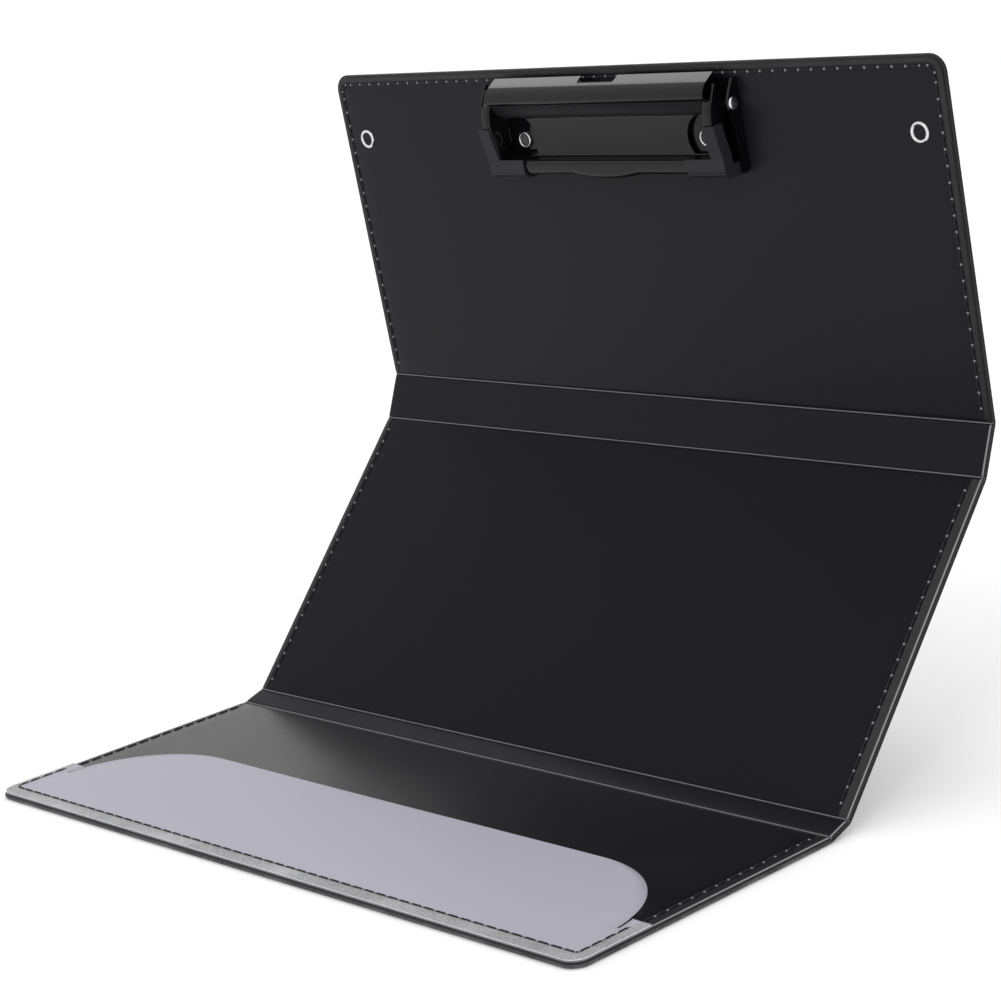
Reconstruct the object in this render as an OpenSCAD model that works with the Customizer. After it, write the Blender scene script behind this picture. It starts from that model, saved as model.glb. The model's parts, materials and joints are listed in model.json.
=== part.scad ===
// Folding clipboard folio. Three stiff panels are joined by two spines, so that
// the folio folds to a third of its length. It stands half open on its lower
// panel, which carries a clear pocket. The top panel carries a sprung paper
// clip and two eyelets with a flat elastic closing band behind them.
//
// X runs along the folds, +Y runs away from the user, +Z is up. The origin is
// under the middle of the standing folio.

/* [Panels] */
// Length of every panel and spine along the folds
panel_w = 240; // [225:1:300]
// Depth of the lower panel, from its front edge to its crease
lower_len = 93.5; // [85:0.5:94]
// Depth of the middle panel, between its two creases
middle_len = 100; // [96:0.5:110]
// Depth of the top panel, from its crease to its free edge
top_len = 99.8; // [94:0.2:100]
// Width of the narrow spine, between the lower and middle panels
lower_spine_len = 7.5; // [6:0.1:9]
// Width of the wide spine, between the middle and top panels
upper_spine_len = 14.6; // [14:0.1:18]
// Radius of the four outer corners
corner_r = 5; // [3:0.5:8]

/* [Layers] */
// Thickness of the outer leather
cover_t = 0.6; // [0.5:0.1:1]
// Thickness of the stiff board in a panel and of the strip in a spine
board_t = 1; // [0.9:0.1:1.6]
// Thickness of the inner lining
lining_t = 0.4; // [0.3:0.1:0.7]
// Width of the leather turned up round the edges of a board
rim_w = 0.8; // [0.6:0.1:1.2]
// Side clearance of a board inside its leather rim
layer_gap = 0.05; // [0.02:0.01:0.1]
// Setback of the lining from the edges of its panel
lining_inset = 0.5; // [0.3:0.1:0.8]
// Setback of a panel's edge from the crease line
crease_gap = 0.3; // [0.25:0.05:0.4]

/* [Standing pose] */
// Fold between the lower panel and the narrow spine, in degrees
lower_outer_fold = 17.5; // [10:0.5:30]
// Fold between the narrow spine and the middle panel, in degrees
lower_inner_fold = 30.75; // [20:0.25:38]
// Fold between the middle panel and the wide spine, in degrees
upper_inner_fold = 19.65; // [10:0.05:40]
// Fold between the wide spine and the top panel, in degrees
upper_outer_fold = 28.25; // [10:0.25:45]

/* [Pocket] */
// Thickness of the clear film
film_t = 0.35; // [0.2:0.05:0.5]
// Height of the space under the film
pocket_gap = 0.25; // [0.15:0.05:0.4]
// Setback of the film from the edges of the lower panel
film_inset = 0.5; // [0.4:0.1:2]
// Depth of the film, from its front edge to its open upper edge
film_depth = 52; // [40:0.5:60]
// Radius of the two upper corners of the film
film_corner_r = 34; // [20:1:36]
// Width of the sewn strip up each side of the film
side_strip_w = 6.2; // [5:0.1:9]
// Length of the sewn strip up each side of the film
side_strip_len = 26; // [20:0.5:35]
// Width of the slit between the free end of a sewn strip and the film beside it
strip_slit_w = 0.9; // [0.5:0.1:1.5]
// Length of that slit
strip_slit_len = 6; // [3:0.5:8]
// Width of the sewn seam along the front edge of the film
front_seam_w = 4.5; // [3:0.5:8]

/* [Eyelets] */
// Distance from an end of the panel to the centre of its eyelet
eyelet_from_end = 10.4; // [9:0.1:14]
// Distance from the free edge of the top panel to the eyelets
eyelet_from_edge = 20.5; // [16:0.5:24]
// Radius of the hole through an eyelet
eyelet_hole_r = 2; // [1.6:0.1:2.5]
// Wall of an eyelet's barrel
eyelet_wall = 0.35; // [0.25:0.05:0.5]
// Radius of the rolled rim on the inner side, across the roll
inner_roll_r = 0.5; // [0.4:0.05:0.6]
// Radius of the rolled flange on the outer side, across the roll
outer_roll_r = 0.6; // [0.4:0.05:0.7]
// Clearance of a rivet's or an eyelet's barrel in the panel
barrel_gap = 0.04; // [0.02:0.01:0.1]

/* [Elastic band] */
// Width of the flat elastic
band_w = 6.5; // [5:0.5:8]
// Thickness of the flat elastic
band_t = 1; // [0.6:0.1:1.4]
// Clearance of the folded end of the elastic in its eyelet
band_end_gap = 0.15; // [0.05:0.05:0.3]
// Depth of the folded end below the inner side of the panel
band_end_depth = 0.7; // [0.4:0.1:1]
// Clearance between the elastic and the metal that it passes over
band_seat_gap = 0.1; // [0.05:0.05:0.3]

/* [Clip base] */
// Length of the base along the folds
base_w = 99.2; // [98:0.2:110]
// Thickness of the steel sheet of the base and the lever
sheet_t = 0.9; // [0.7:0.05:1]
// Distance from the free edge of the top panel to the rear edge of the base
base_rear = 4.2; // [4:0.1:5]
// Distance from the free edge of the top panel to the front edge of the base
base_front = 31.2; // [31:0.1:34]
// Radius of the corners of the base
base_corner_r = 2; // [1:0.5:2.5]
// Distance from the free edge of the top panel to the hinge pin
pin_from_edge = 11; // [10.8:0.1:11.2]
// Height of the hinge pin over the lining
pin_height = 2.85; // [2.8:0.05:3]
// Radius of the hinge pin
pin_r = 1; // [0.8:0.05:1.1]
// Radius of the domed heads on the hinge pin
pin_head_r = 1.9; // [1.5:0.1:2]
// Height of the domed heads on the hinge pin
pin_head_t = 0.6; // [0.4:0.1:0.8]
// Clearance of the pin in the base, which holds it
pin_grip_gap = 0.02; // [0.01:0.01:0.03]
// Height of the ears that hold the pin, over the lining
ear_height = 4.8; // [4.6:0.1:5.2]
// Half length of an ear's level top
ear_top = 1.4; // [1:0.1:2]
// Half length of an ear across its shoulders
ear_shoulder = 3.2; // [2.6:0.1:3.8]
// Drop of the shoulders below the top of an ear
ear_shoulder_drop = 0.9; // [0.5:0.1:1.2]
// Height of the low ends of an ear over the base
ear_end_height = 0.9; // [0.6:0.1:1.4]
// Setback of an ear from the front edge of the base
ear_setback = 2.7; // [2:0.1:3]

/* [Clip rivets] */
// Spacing of the two rivets
rivet_spacing = 72.7; // [68:0.1:76]
// Distance from the free edge of the top panel to the rivets
rivet_from_edge = 21; // [19:0.5:22]
// Radius of a rivet's barrel
rivet_r = 1.5; // [1.2:0.1:1.8]
// Radius of a rivet's rolled head
rivet_head_r = 2.45; // [2.2:0.05:2.8]
// Height of a rivet's rolled head
rivet_head_t = 0.85; // [0.7:0.05:1]
// Radius of the hollow in a rivet's rolled head
rivet_hollow_r = 1.6; // [1.2:0.1:1.6]
// Thickness of a rivet's head under that hollow
rivet_floor_t = 0.3; // [0.2:0.05:0.4]
// Radius of a rivet's flange under its cap
rivet_flange_r = 3; // [2.6:0.1:3.4]
// Thickness of a rivet's flange
rivet_flange_t = 0.4; // [0.3:0.05:0.5]
// Radius of a domed cap
cap_r = 4; // [3.7:0.1:4.5]
// Height of a domed cap
cap_height = 1.7; // [1.4:0.1:2]
// Thickness of the bright rim of a domed cap
cap_rim_t = 0.45; // [0.4:0.05:0.6]

/* [Clip lever] */
// Side clearance between a cheek of the lever and an ear of the base
cheek_gap = 3; // [2.4:0.1:4]
// Width of the raised bead at each end of the lever
bead_w = 3.1; // [3:0.1:3.6]
// Distance from the free edge of the top panel to the rear edge of the roll
roll_rear = 2.1; // [2:0.1:2.6]
// Distance from the free edge of the top panel to the groove behind the roll
roll_front = 8.9; // [8.6:0.1:9.1]
// Height of the rear edge of the roll over the lining
roll_edge_height = 2.4; // [2.3:0.1:2.8]
// Height of the crest of the thumb roll over the lining
roll_height = 8.3; // [8:0.1:8.8]
// Height of the sunk floor of the lever over the lining
floor_height = 2.3; // [2.3:0.05:2.6]
// Distance from the free edge of the top panel to the front of the floor
floor_front = 25.8; // [25.2:0.1:26.2]
// Height of the front bead over the lining
bead_height = 6.9; // [6.4:0.1:7.4]
// Height of the side beads where they are highest, over the lining
bead_crest = 9.1; // [8.6:0.1:9.6]
// Distance from the free edge of the top panel to where the side beads crest
crest_from_edge = 15.2; // [14.8:0.1:15.6]
// Length of the front bead's rounded shoulder
bead_shoulder = 1.4; // [1.2:0.1:1.6]
// Clearance between the lever and the spring that it covers
cover_gap = 0.2; // [0.15:0.05:0.3]
// Clearance of the lever's cheeks on the hinge pin
pin_run_gap = 0.05; // [0.02:0.01:0.08]
// Clearance under the closed jaw
jaw_gap = 0.3; // [0.3:0.05:0.5]
// Setback of the jaw from the front edge of the base
jaw_setback = 0.4; // [0.3:0.1:0.6]
// Length of the notch in the thumb roll
notch_w = 14.7; // [10:0.1:20]
// Depth of the notch in the thumb roll
notch_depth = 1.5; // [1:0.1:2]
// Radius of the windows over the rivets
window_r = 6.9; // [6.4:0.1:7]
// Distance from the free edge of the top panel to the middle of the windows
window_from_edge = 20.6; // [20.4:0.1:20.8]
// Distance from the middle of the lever to the middle of a window
window_offset = 37; // [36.6:0.1:37.4]
// Depth of the bow in the middle of the jaw
bow_depth = 1.3; // [0.8:0.1:1.5]
// Radius of the bow in the middle of the jaw
bow_r = 60; // [40:1:100]

/* [Corner grips] */
// Thickness of a moulded grip over the lever
grip_t = 0.8; // [0.6:0.05:1]
// Depth of a grip's outer wall
grip_depth = 3; // [2.4:0.1:3.4]
// Clearance between a grip and the lever that it is pressed on
grip_gap = 0.02; // [0.01:0.01:0.05]
// Thickness of a grip's outer wall
grip_wall = 1.3; // [1:0.1:1.4]
// Overhang of a grip past the inner side of a bead
grip_overhang = 0.1; // [0.05:0.05:0.2]
// Length of a grip's foot along the jaw
grip_foot_len = 14.4; // [10:0.2:16]
// Distance from the free edge of the top panel to the top of a grip
grip_rear = 16; // [15.6:0.1:16.4]

/* [Clip spring] */
// Diameter of the spring's wire
wire_d = 0.7; // [0.5:0.05:0.8]
// Turns in each of the two coils
coil_turns = 7; // [4:1:9]
// Gap between neighbouring turns
turn_gap = 0.12; // [0.05:0.01:0.3]
// Clearance between a coil and the hinge pin
coil_gap = 0.12; // [0.05:0.01:0.2]
// Distance from the middle of the clip to the inner end of a coil
coil_offset = 10; // [8:0.5:20]
// Setback of the ends of the spring's arms from the rear edge of the base
arm_setback = 1; // [0.6:0.1:1.5]
// Clearance between a spring arm and the thumb roll over it
arm_gap = 0.1; // [0.05:0.05:0.2]

/* [Hidden] */

$fn = 48;
// overshoot of a cut past the surface that it opens
cut = 1;

leather_black = "#1d1d1f";
board_grey = "#8a8478";
lining_black = "#2a2a2d";
film_clear = "#b2b0ba";
steel_black = "#151517";
steel_bright = "#c8c8cc";
rubber_black = "#3a3a3e";
elastic_black = "#101011";

panel_t = cover_t + board_t + lining_t;

// Slope of each panel and spine, and the crease lines between them. A crease
// is a point [y, z] on the inner side of the folio.
spine_1_slope = lower_outer_fold;
middle_slope = spine_1_slope + lower_inner_fold;
spine_2_slope = middle_slope + upper_inner_fold;
top_slope = spine_2_slope + upper_outer_fold;

function along(slope, distance) = distance * [cos(slope), sin(slope)];

rise_1 = along(spine_1_slope, lower_spine_len);
rise_2 = rise_1 + along(middle_slope, middle_len);
rise_3 = rise_2 + along(spine_2_slope, upper_spine_len);

// The rearmost point is the outer lower corner of the top panel.
rear_y = rise_3[0] + panel_t * sin(top_slope) + crease_gap * cos(top_slope);
crease_1 = [(lower_len - rear_y) / 2, panel_t];
crease_2 = crease_1 + rise_1;
crease_3 = crease_1 + rise_2;
crease_4 = crease_1 + rise_3;

// Puts a piece drawn flat, from its crease along +Y and with its inner side at
// z = 0, where that panel or spine stands.
module standing(crease, slope) {
  translate([0, crease[0], crease[1]]) rotate([slope, 0, 0]) children();
}

module on_lower_panel() {
  standing(crease_1, 0) children();
}

module on_lower_spine() {
  standing(crease_1, spine_1_slope) children();
}

module on_middle_panel() {
  standing(crease_2, middle_slope) children();
}

module on_upper_spine() {
  standing(crease_3, spine_2_slope) children();
}

module on_top_panel() {
  standing(crease_4, top_slope) children();
}

// Places a piece of the clip, drawn with +Y running from the free edge of the
// top panel towards its crease and +Z standing out of the inner side.
module on_free_edge() {
  on_top_panel() translate([0, top_len, 0]) mirror([0, 1, 0]) children();
}

// Places a piece at both ends of the folio.
module both_ends(offset_x) {
  for (side = [-1, 1]) translate([side * offset_x, 0, 0]) children();
}

// Outline of a panel whose far end has round corners.
module panel_outline(width, from, to, r) {
  translate([-width / 2, from]) square([width, to - from - r]);
  translate([-width / 2 + r, from]) square([width - 2 * r, to - from]);
  for (side = [-1, 1]) translate([side * (width / 2 - r), to - r]) circle(r);
}

// Outline of a panel or a spine with four square corners.
module strip_outline(width, from, to) {
  translate([-width / 2, from]) square([width, to - from]);
}

// The leather of one panel: a tray that holds the board, with the lining on top.
module leather_tray(width, from, to, r = 0) {
  color(leather_black) difference() {
    translate([0, 0, -panel_t]) linear_extrude(panel_t - lining_t) {
      if (r > 0) panel_outline(width, from, to, r);
      else strip_outline(width, from, to);
    }
    translate([0, 0, -panel_t + cover_t]) linear_extrude(panel_t) {
      if (r > 0) {
        panel_outline(width - 2 * rim_w, from + rim_w, to - rim_w, r - rim_w);
      } else {
        strip_outline(width - 2 * rim_w, from + rim_w, to - rim_w);
      }
    }
  }
}

// The board lies in the leather tray, level with its rim.
module board_layer(width, from, to, r = 0) {
  edge = rim_w + layer_gap;
  color(board_grey) translate([0, 0, -lining_t - board_t]) linear_extrude(board_t) {
    if (r > 0) {
      panel_outline(width - 2 * edge, from + edge, to - edge, r - edge);
    } else {
      strip_outline(width - 2 * edge, from + edge, to - edge);
    }
  }
}

// The lining covers the board and the rim of the leather, and runs out to the
// creases.
module lining_layer(width, from, to, r = 0) {
  color(lining_black) translate([0, 0, -lining_t]) linear_extrude(lining_t) {
    if (r > 0) {
      panel_outline(width - 2 * lining_inset, from, to - lining_inset, r - lining_inset);
    } else {
      strip_outline(width - 2 * lining_inset, from, to);
    }
  }
}

// ---- Lower panel ---------------------------------------------------------

// The lower panel runs from its crease towards the user.
module facing_user() {
  on_lower_panel() mirror([0, 1, 0]) children();
}

module lower_cover() {
  facing_user() leather_tray(panel_w, crease_gap, lower_len, corner_r);
}

module lower_board() {
  facing_user() board_layer(panel_w, crease_gap, lower_len, corner_r);
}

module lower_lining() {
  facing_user() lining_layer(panel_w, crease_gap, lower_len, corner_r);
}

// Outline of the whole film: the sewn front, two short side strips and a body
// with large round upper corners. Y is the distance from the crease.
module film_outline() {
  front_y = lower_len - film_inset;
  upper_y = front_y - film_depth;
  half_w = panel_w / 2 - film_inset;
  body_half_w = half_w - side_strip_w;
  front_r = corner_r - film_inset;
  strip_end_y = front_y - side_strip_len;
  // body, whose two upper corners are quarter circles
  intersection() {
    union() {
      translate([-body_half_w, upper_y + film_corner_r]) {
        square([2 * body_half_w, film_depth]);
      }
      translate([-body_half_w + film_corner_r, upper_y]) {
        square([2 * (body_half_w - film_corner_r), film_depth]);
      }
      both_ends(body_half_w - film_corner_r) translate([0, upper_y + film_corner_r]) {
        circle(film_corner_r, $fn = 96);
      }
    }
    strip_outline(panel_w, upper_y, front_y);
  }
  // sewn strips, which are slit from the body at their free ends
  difference() {
    panel_outline(2 * half_w, strip_end_y, front_y, front_r);
    both_ends(body_half_w + strip_slit_w / 2) {
      translate([-strip_slit_w / 2, strip_end_y - cut]) {
        square([strip_slit_w, strip_slit_len + cut]);
      }
    }
    strip_outline(2 * body_half_w, strip_end_y - cut, strip_end_y + strip_slit_len);
  }
}

// Outline of the space in the pocket, which is open at its upper edge and
// reaches a little way under the sewn strips.
module pocket_outline() {
  front_y = lower_len - film_inset - front_seam_w;
  half_w = panel_w / 2 - film_inset - side_strip_w + film_t;
  strip_outline(2 * half_w, 0, front_y);
}

module pocket_film() {
  color(film_clear, 0.6) facing_user() difference() {
    linear_extrude(pocket_gap + film_t) film_outline();
    translate([0, 0, -cut]) linear_extrude(cut + pocket_gap) pocket_outline();
  }
}

// ---- Narrow spine --------------------------------------------------------

module lower_spine_cover() {
  on_lower_spine() {
    leather_tray(panel_w, crease_gap, lower_spine_len - crease_gap);
  }
}

module lower_spine_strip() {
  on_lower_spine() {
    board_layer(panel_w, crease_gap, lower_spine_len - crease_gap);
  }
}

module lower_spine_lining() {
  on_lower_spine() {
    lining_layer(panel_w, crease_gap, lower_spine_len - crease_gap);
  }
}

// ---- Middle panel --------------------------------------------------------

module middle_cover() {
  on_middle_panel() leather_tray(panel_w, crease_gap, middle_len - crease_gap);
}

module middle_board() {
  on_middle_panel() board_layer(panel_w, crease_gap, middle_len - crease_gap);
}

module middle_lining() {
  on_middle_panel() lining_layer(panel_w, crease_gap, middle_len - crease_gap);
}

// ---- Wide spine ----------------------------------------------------------

module upper_spine_cover() {
  on_upper_spine() {
    leather_tray(panel_w, crease_gap, upper_spine_len - crease_gap);
  }
}

module upper_spine_strip() {
  on_upper_spine() {
    board_layer(panel_w, crease_gap, upper_spine_len - crease_gap);
  }
}

module upper_spine_lining() {
  on_upper_spine() {
    lining_layer(panel_w, crease_gap, upper_spine_len - crease_gap);
  }
}

// ---- Top panel -----------------------------------------------------------

eyelet_x = panel_w / 2 - eyelet_from_end;
rivet_x = rivet_spacing / 2;
eyelet_barrel_r = eyelet_hole_r + eyelet_wall;

// Drills the top panel for the eyelets and the rivets of the clip.
module drilled() {
  difference() {
    children();
    on_free_edge() {
      both_ends(eyelet_x) translate([0, eyelet_from_edge, -panel_t - cut]) {
        cylinder(panel_t + 2 * cut, r = eyelet_barrel_r + barrel_gap);
      }
      both_ends(rivet_x) translate([0, rivet_from_edge, -panel_t - cut]) {
        cylinder(panel_t + 2 * cut, r = rivet_r + barrel_gap);
      }
    }
  }
}

module top_cover() {
  drilled() on_top_panel() {
    leather_tray(panel_w, crease_gap, top_len, corner_r);
  }
}

module top_board() {
  drilled() on_top_panel() board_layer(panel_w, crease_gap, top_len, corner_r);
}

module top_lining() {
  drilled() on_top_panel() lining_layer(panel_w, crease_gap, top_len, corner_r);
}

// One eyelet, with its hole along Z: a barrel with a rolled rim on the inner
// side and a wider rolled flange on the outer side.
module eyelet() {
  rotate_extrude() {
    translate([eyelet_hole_r, -panel_t]) square([eyelet_wall, panel_t]);
    intersection() {
      translate([eyelet_hole_r + inner_roll_r, 0]) circle(inner_roll_r);
      square([4 * eyelet_hole_r, inner_roll_r]);
    }
    intersection() {
      translate([eyelet_hole_r + outer_roll_r, -panel_t]) circle(outer_roll_r);
      translate([0, -panel_t - outer_roll_r]) {
        square([4 * eyelet_hole_r, outer_roll_r]);
      }
    }
  }
}

module eyelets() {
  color(steel_bright) on_free_edge() {
    both_ends(eyelet_x) translate([0, eyelet_from_edge, 0]) eyelet();
  }
}

// The flat elastic runs behind the panel from eyelet to eyelet and passes over
// the domed caps. Each end is folded small and held in its eyelet.
module elastic_band() {
  low = -panel_t - outer_roll_r - band_seat_gap;
  high = -panel_t - cap_height - band_seat_gap;
  tip_x = eyelet_x + eyelet_barrel_r + 2 * outer_roll_r;
  crest_x = rivet_x + cap_r;
  under = [
    [-tip_x, low], [-eyelet_x, low], [-crest_x, high],
    [crest_x, high], [eyelet_x, low], [tip_x, low]
  ];
  over = [for (i = [5:-1:0]) under[i] - [0, band_t]];
  color(elastic_black) on_free_edge() translate([0, eyelet_from_edge, 0]) {
    translate([0, band_w / 2, 0]) rotate([90, 0, 0]) {
      linear_extrude(band_w) polygon(concat(under, over));
    }
    both_ends(eyelet_x) translate([0, 0, low - band_t / 2]) {
      cylinder(
        -low + band_t / 2 - band_end_depth,
        r = eyelet_hole_r - band_end_gap
      );
    }
  }
}

// ---- Clip base, pin, rivets and spring -----------------------------------

// Draws a profile of [y, z] points and gives it a length along X.
module along_folds(length) {
  translate([-length / 2, 0, 0]) rotate([90, 0, 90]) {
    linear_extrude(length) children();
  }
}

// The ear at each end of the base is high round the hinge pin and slopes down
// to the front corner.
module ear_profile() {
  shoulder_z = ear_height - ear_shoulder_drop;
  end_z = sheet_t + ear_end_height;
  difference() {
    polygon([
      [base_rear, 0],
      [base_rear, end_z],
      [pin_from_edge - ear_shoulder, shoulder_z],
      [pin_from_edge - ear_top, ear_height],
      [pin_from_edge + ear_top, ear_height],
      [pin_from_edge + ear_shoulder, shoulder_z],
      [base_front - ear_setback, end_z],
      [base_front - ear_setback, 0]
    ]);
    translate([pin_from_edge, pin_height]) circle(pin_r + pin_grip_gap);
  }
}

module clip_base() {
  color(steel_black) on_free_edge() {
    difference() {
      linear_extrude(sheet_t) {
        panel_outline(base_w, base_rear, base_front, base_corner_r);
      }
      both_ends(rivet_x) translate([0, rivet_from_edge, -cut]) {
        cylinder(sheet_t + 2 * cut, r = rivet_r + barrel_gap);
      }
    }
    both_ends((base_w - sheet_t) / 2) along_folds(sheet_t) ear_profile();
  }
}

// A shallow dome that stands on z = 0.
module dome(r, height) {
  ball_r = (r * r + height * height) / (2 * height);
  intersection() {
    translate([0, 0, height - ball_r]) sphere(ball_r);
    cylinder(height, r = r);
  }
}

module hinge_pin() {
  color(steel_bright) on_free_edge() {
    translate([0, pin_from_edge, pin_height]) {
      rotate([0, 90, 0]) cylinder(base_w, r = pin_r, center = true);
      for (side = [0, 1]) mirror([side, 0, 0]) {
        translate([base_w / 2, 0, 0]) rotate([0, 90, 0]) dome(pin_head_r, pin_head_t);
      }
    }
  }
}

// One rivet: a flange behind the panel, a barrel through the panel and the
// base, and a hollow rolled head on the base.
module rivet() {
  difference() {
    union() {
      translate([0, 0, -panel_t - rivet_flange_t]) {
        cylinder(rivet_flange_t, r = rivet_flange_r);
        cylinder(rivet_flange_t + panel_t + sheet_t + rivet_head_t, r = rivet_r);
      }
      translate([0, 0, sheet_t]) rotate_extrude() {
        square([rivet_head_r - rivet_head_t / 2, rivet_head_t]);
        translate([rivet_head_r - rivet_head_t / 2, rivet_head_t / 2]) {
          circle(rivet_head_t / 2);
        }
      }
    }
    translate([0, 0, sheet_t + rivet_floor_t]) {
      cylinder(rivet_head_t, r = rivet_hollow_r);
    }
  }
}

module clip_rivets() {
  color(steel_bright) on_free_edge() {
    both_ends(rivet_x) translate([0, rivet_from_edge, 0]) rivet();
  }
}

// One domed cap, which closes over the flange of its rivet.
module rivet_cap() {
  difference() {
    union() {
      translate([0, 0, -cap_rim_t]) cylinder(cap_rim_t, r = cap_r);
      mirror([0, 0, 1]) translate([0, 0, cap_rim_t]) dome(cap_r, cap_height - cap_rim_t);
    }
    translate([0, 0, -rivet_flange_t]) {
      cylinder(rivet_flange_t + cut, r = rivet_flange_r + barrel_gap);
    }
  }
}

module rivet_caps() {
  color(steel_black) on_free_edge() {
    both_ends(rivet_x) translate([0, rivet_from_edge, -panel_t]) rivet_cap();
  }
}

// Wire swept along a path, as one closed solid with six flat sides. Every
// section lies square to the local run of the path.
module wire(path, d) {
  sides = 6;
  n = len(path);
  function unit(v) = v / norm(v);
  function run(i) = unit(path[min(i + 1, n - 1)] - path[max(i - 1, 0)]);
  // the sections are turned about the X axis, which no stretch runs along
  function first(i) = unit(cross(run(i), [1, 0, 0]));
  function second(i) = cross(run(i), first(i));
  points = [
    for (i = [0:n - 1], k = [0:sides - 1])
      path[i] + d / 2 * (
        cos(360 * k / sides) * first(i) + sin(360 * k / sides) * second(i)
      )
  ];
  walls = [
    for (i = [0:n - 2], k = [0:sides - 1]) [
      i * sides + k,
      (i + 1) * sides + k,
      (i + 1) * sides + (k + 1) % sides,
      i * sides + (k + 1) % sides
    ]
  ];
  start = [for (k = [0:sides - 1]) k];
  end = [for (k = [sides - 1:-1:0]) (n - 1) * sides + k];
  polyhedron(points, concat([start], walls, [end]), convexity = 8);
}

// One coil of the torsion spring, round the X axis. Its first arm lies back
// along the base and its last arm reaches up to the thumb roll.
module spring_coil() {
  coil_r = pin_r + coil_gap + wire_d / 2;
  steps = 12;
  pitch = wire_d + turn_gap;
  arm = pin_from_edge - base_rear - arm_setback;
  // the coil starts under the pin and ends over it, half a turn further on
  total = coil_turns + 0.5;
  count = total * steps;
  turns = [
    for (i = [0:count])
      [pitch * i / steps, -coil_r * sin(360 * i / steps), -coil_r * cos(360 * i / steps)]
  ];
  rise = lever_underside(pin_from_edge - arm) - pin_height - wire_d / 2 - arm_gap;
  base_arm = [0, -arm, -coil_r];
  roll_arm = [pitch * total, -arm, rise];
  wire(concat([base_arm], turns, [roll_arm]), wire_d);
}

module clip_spring() {
  color(steel_bright) on_free_edge() {
    translate([0, pin_from_edge, pin_height]) {
      for (side = [0, 1]) mirror([side, 0, 0]) {
        translate([coil_offset, 0, 0]) spring_coil();
      }
    }
  }
}

// ---- Clip lever ----------------------------------------------------------

// The lever is pressed from one sheet. Its paths follow the outer side of the
// sheet as [y, z] points, with y counted from the free edge of the top panel.
lever_w = base_w - 2 * (sheet_t + cheek_gap);

// Thumb roll, as shares of its length and of its rise from its rear edge
roll_shape = [
  [0, 0], [0.27, 0.56], [0.42, 0.77], [0.6, 0.92], [0.8, 1], [0.93, 0.99], [1, 0.91]
];
roll_path = [
  for (share = roll_shape) [
    roll_rear + share[0] * (roll_front - roll_rear),
    roll_edge_height + share[1] * (roll_height - roll_edge_height)
  ]
];

// Behind the groove the sheet lies close round the spring, then drops to the
// sunk floor.
cover_r = pin_r + coil_gap + wire_d + cover_gap + sheet_t;
roll_end = roll_path[len(roll_path) - 1];
groove_foot = roll_end + [sheet_t / 3, -sheet_t / 2];
cover_path = [
  for (turn = [64, 46, 30])
    [pin_from_edge, pin_height] + cover_r * [cos(turn), sin(turn)]
];
floor_path = [
  [pin_from_edge + cover_r + sheet_t * 1.2, floor_height + sheet_t / 4],
  [pin_from_edge + cover_r + sheet_t * 1.7, floor_height],
  [floor_front, floor_height]
];

// Front bead: up from the floor, level, and down to the jaw
jaw_y = base_front - jaw_setback;
jaw_z = sheet_t + jaw_gap;
bead_start = [floor_front + sheet_t * 2 / 3, bead_height];
bead_path = [
  [jaw_y - bead_shoulder - sheet_t / 2, bead_height],
  [jaw_y - bead_shoulder * 0.7, bead_height - bead_shoulder * 0.25],
  [jaw_y - bead_shoulder * 0.25, bead_height - bead_shoulder * 0.9],
  [jaw_y, jaw_z]
];
bead_wall = [floor_front + sheet_t / 6, bead_height - sheet_t];
lever_path = concat(
  roll_path, [groove_foot], cover_path, floor_path, [bead_wall, bead_start], bead_path
);

// Side bead: it starts beside the roll, is highest in front of the pin, and
// falls to the height of the front bead.
bead_fall = bead_crest - bead_height;
side_path = [
  roll_end - [0, sheet_t / 2],
  [(roll_front + crest_from_edge) / 2 - sheet_t, bead_crest - sheet_t * 0.6],
  [crest_from_edge - 2 * sheet_t, bead_crest - sheet_t * 0.15],
  [crest_from_edge, bead_crest],
  [crest_from_edge + 2 * sheet_t, bead_crest - sheet_t * 0.2],
  [(crest_from_edge + floor_front) / 2, bead_crest - 0.45 * bead_fall],
  [floor_front - sheet_t, bead_crest - 0.95 * bead_fall],
  [floor_front + sheet_t, bead_height]
];
rim_path = concat(side_path, bead_path);

// The same line moved square to itself, to the side of the panel if the
// distance is positive. Corners stay sharp.
function moved(path, d) = [
  for (i = [0:len(path) - 1])
    let (
      before = path[max(i, 1)] - path[max(i, 1) - 1],
      after = path[min(i + 1, len(path) - 1)] - path[min(i, len(path) - 2)],
      a = [before[1], -before[0]] / norm(before),
      b = [after[1], -after[0]] / norm(after)
    )
    path[i] + (a + b) * d / (1 + a * b)
];

function reversed(path) = [for (i = [len(path) - 1:-1:0]) path[i]];

// Height of the underside of the lever over the lining, y from the free edge.
function lever_underside(y) = lookup(y, moved(lever_path, sheet_t));

// Cross-section of the sheet along a path.
module sheet_section(path) {
  polygon(concat(path, reversed(moved(path, sheet_t))));
}

bow_half_w = sqrt(2 * bow_r * bow_depth - bow_depth * bow_depth);
bow_rear = bead_path[0][0];

// Outline of the roll, the floor and the front bead seen from above, with a
// notch in the roll, two windows over the rivets and a gap for the bow.
module lever_outline() {
  inner_w = lever_w - 2 * bead_w;
  sunk_w = inner_w + 2 * sheet_t;
  window_front = floor_front - sheet_t / 2;
  difference() {
    union() {
      translate([-sunk_w / 2, 0]) square([sunk_w, jaw_y]);
      translate([-lever_w / 2, floor_front]) square([lever_w, jaw_y]);
    }
    translate([-notch_w / 2, 0]) square([notch_w, roll_rear + notch_depth]);
    translate([-bow_half_w, bow_rear]) square([2 * bow_half_w, jaw_y]);
    intersection() {
      both_ends(window_offset) union() {
        translate([0, window_from_edge]) circle(window_r);
        translate([-window_r / 2, window_from_edge]) square([window_r, window_r]);
      }
      translate([-inner_w / 2, 0]) square([inner_w, window_front]);
    }
  }
}

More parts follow.
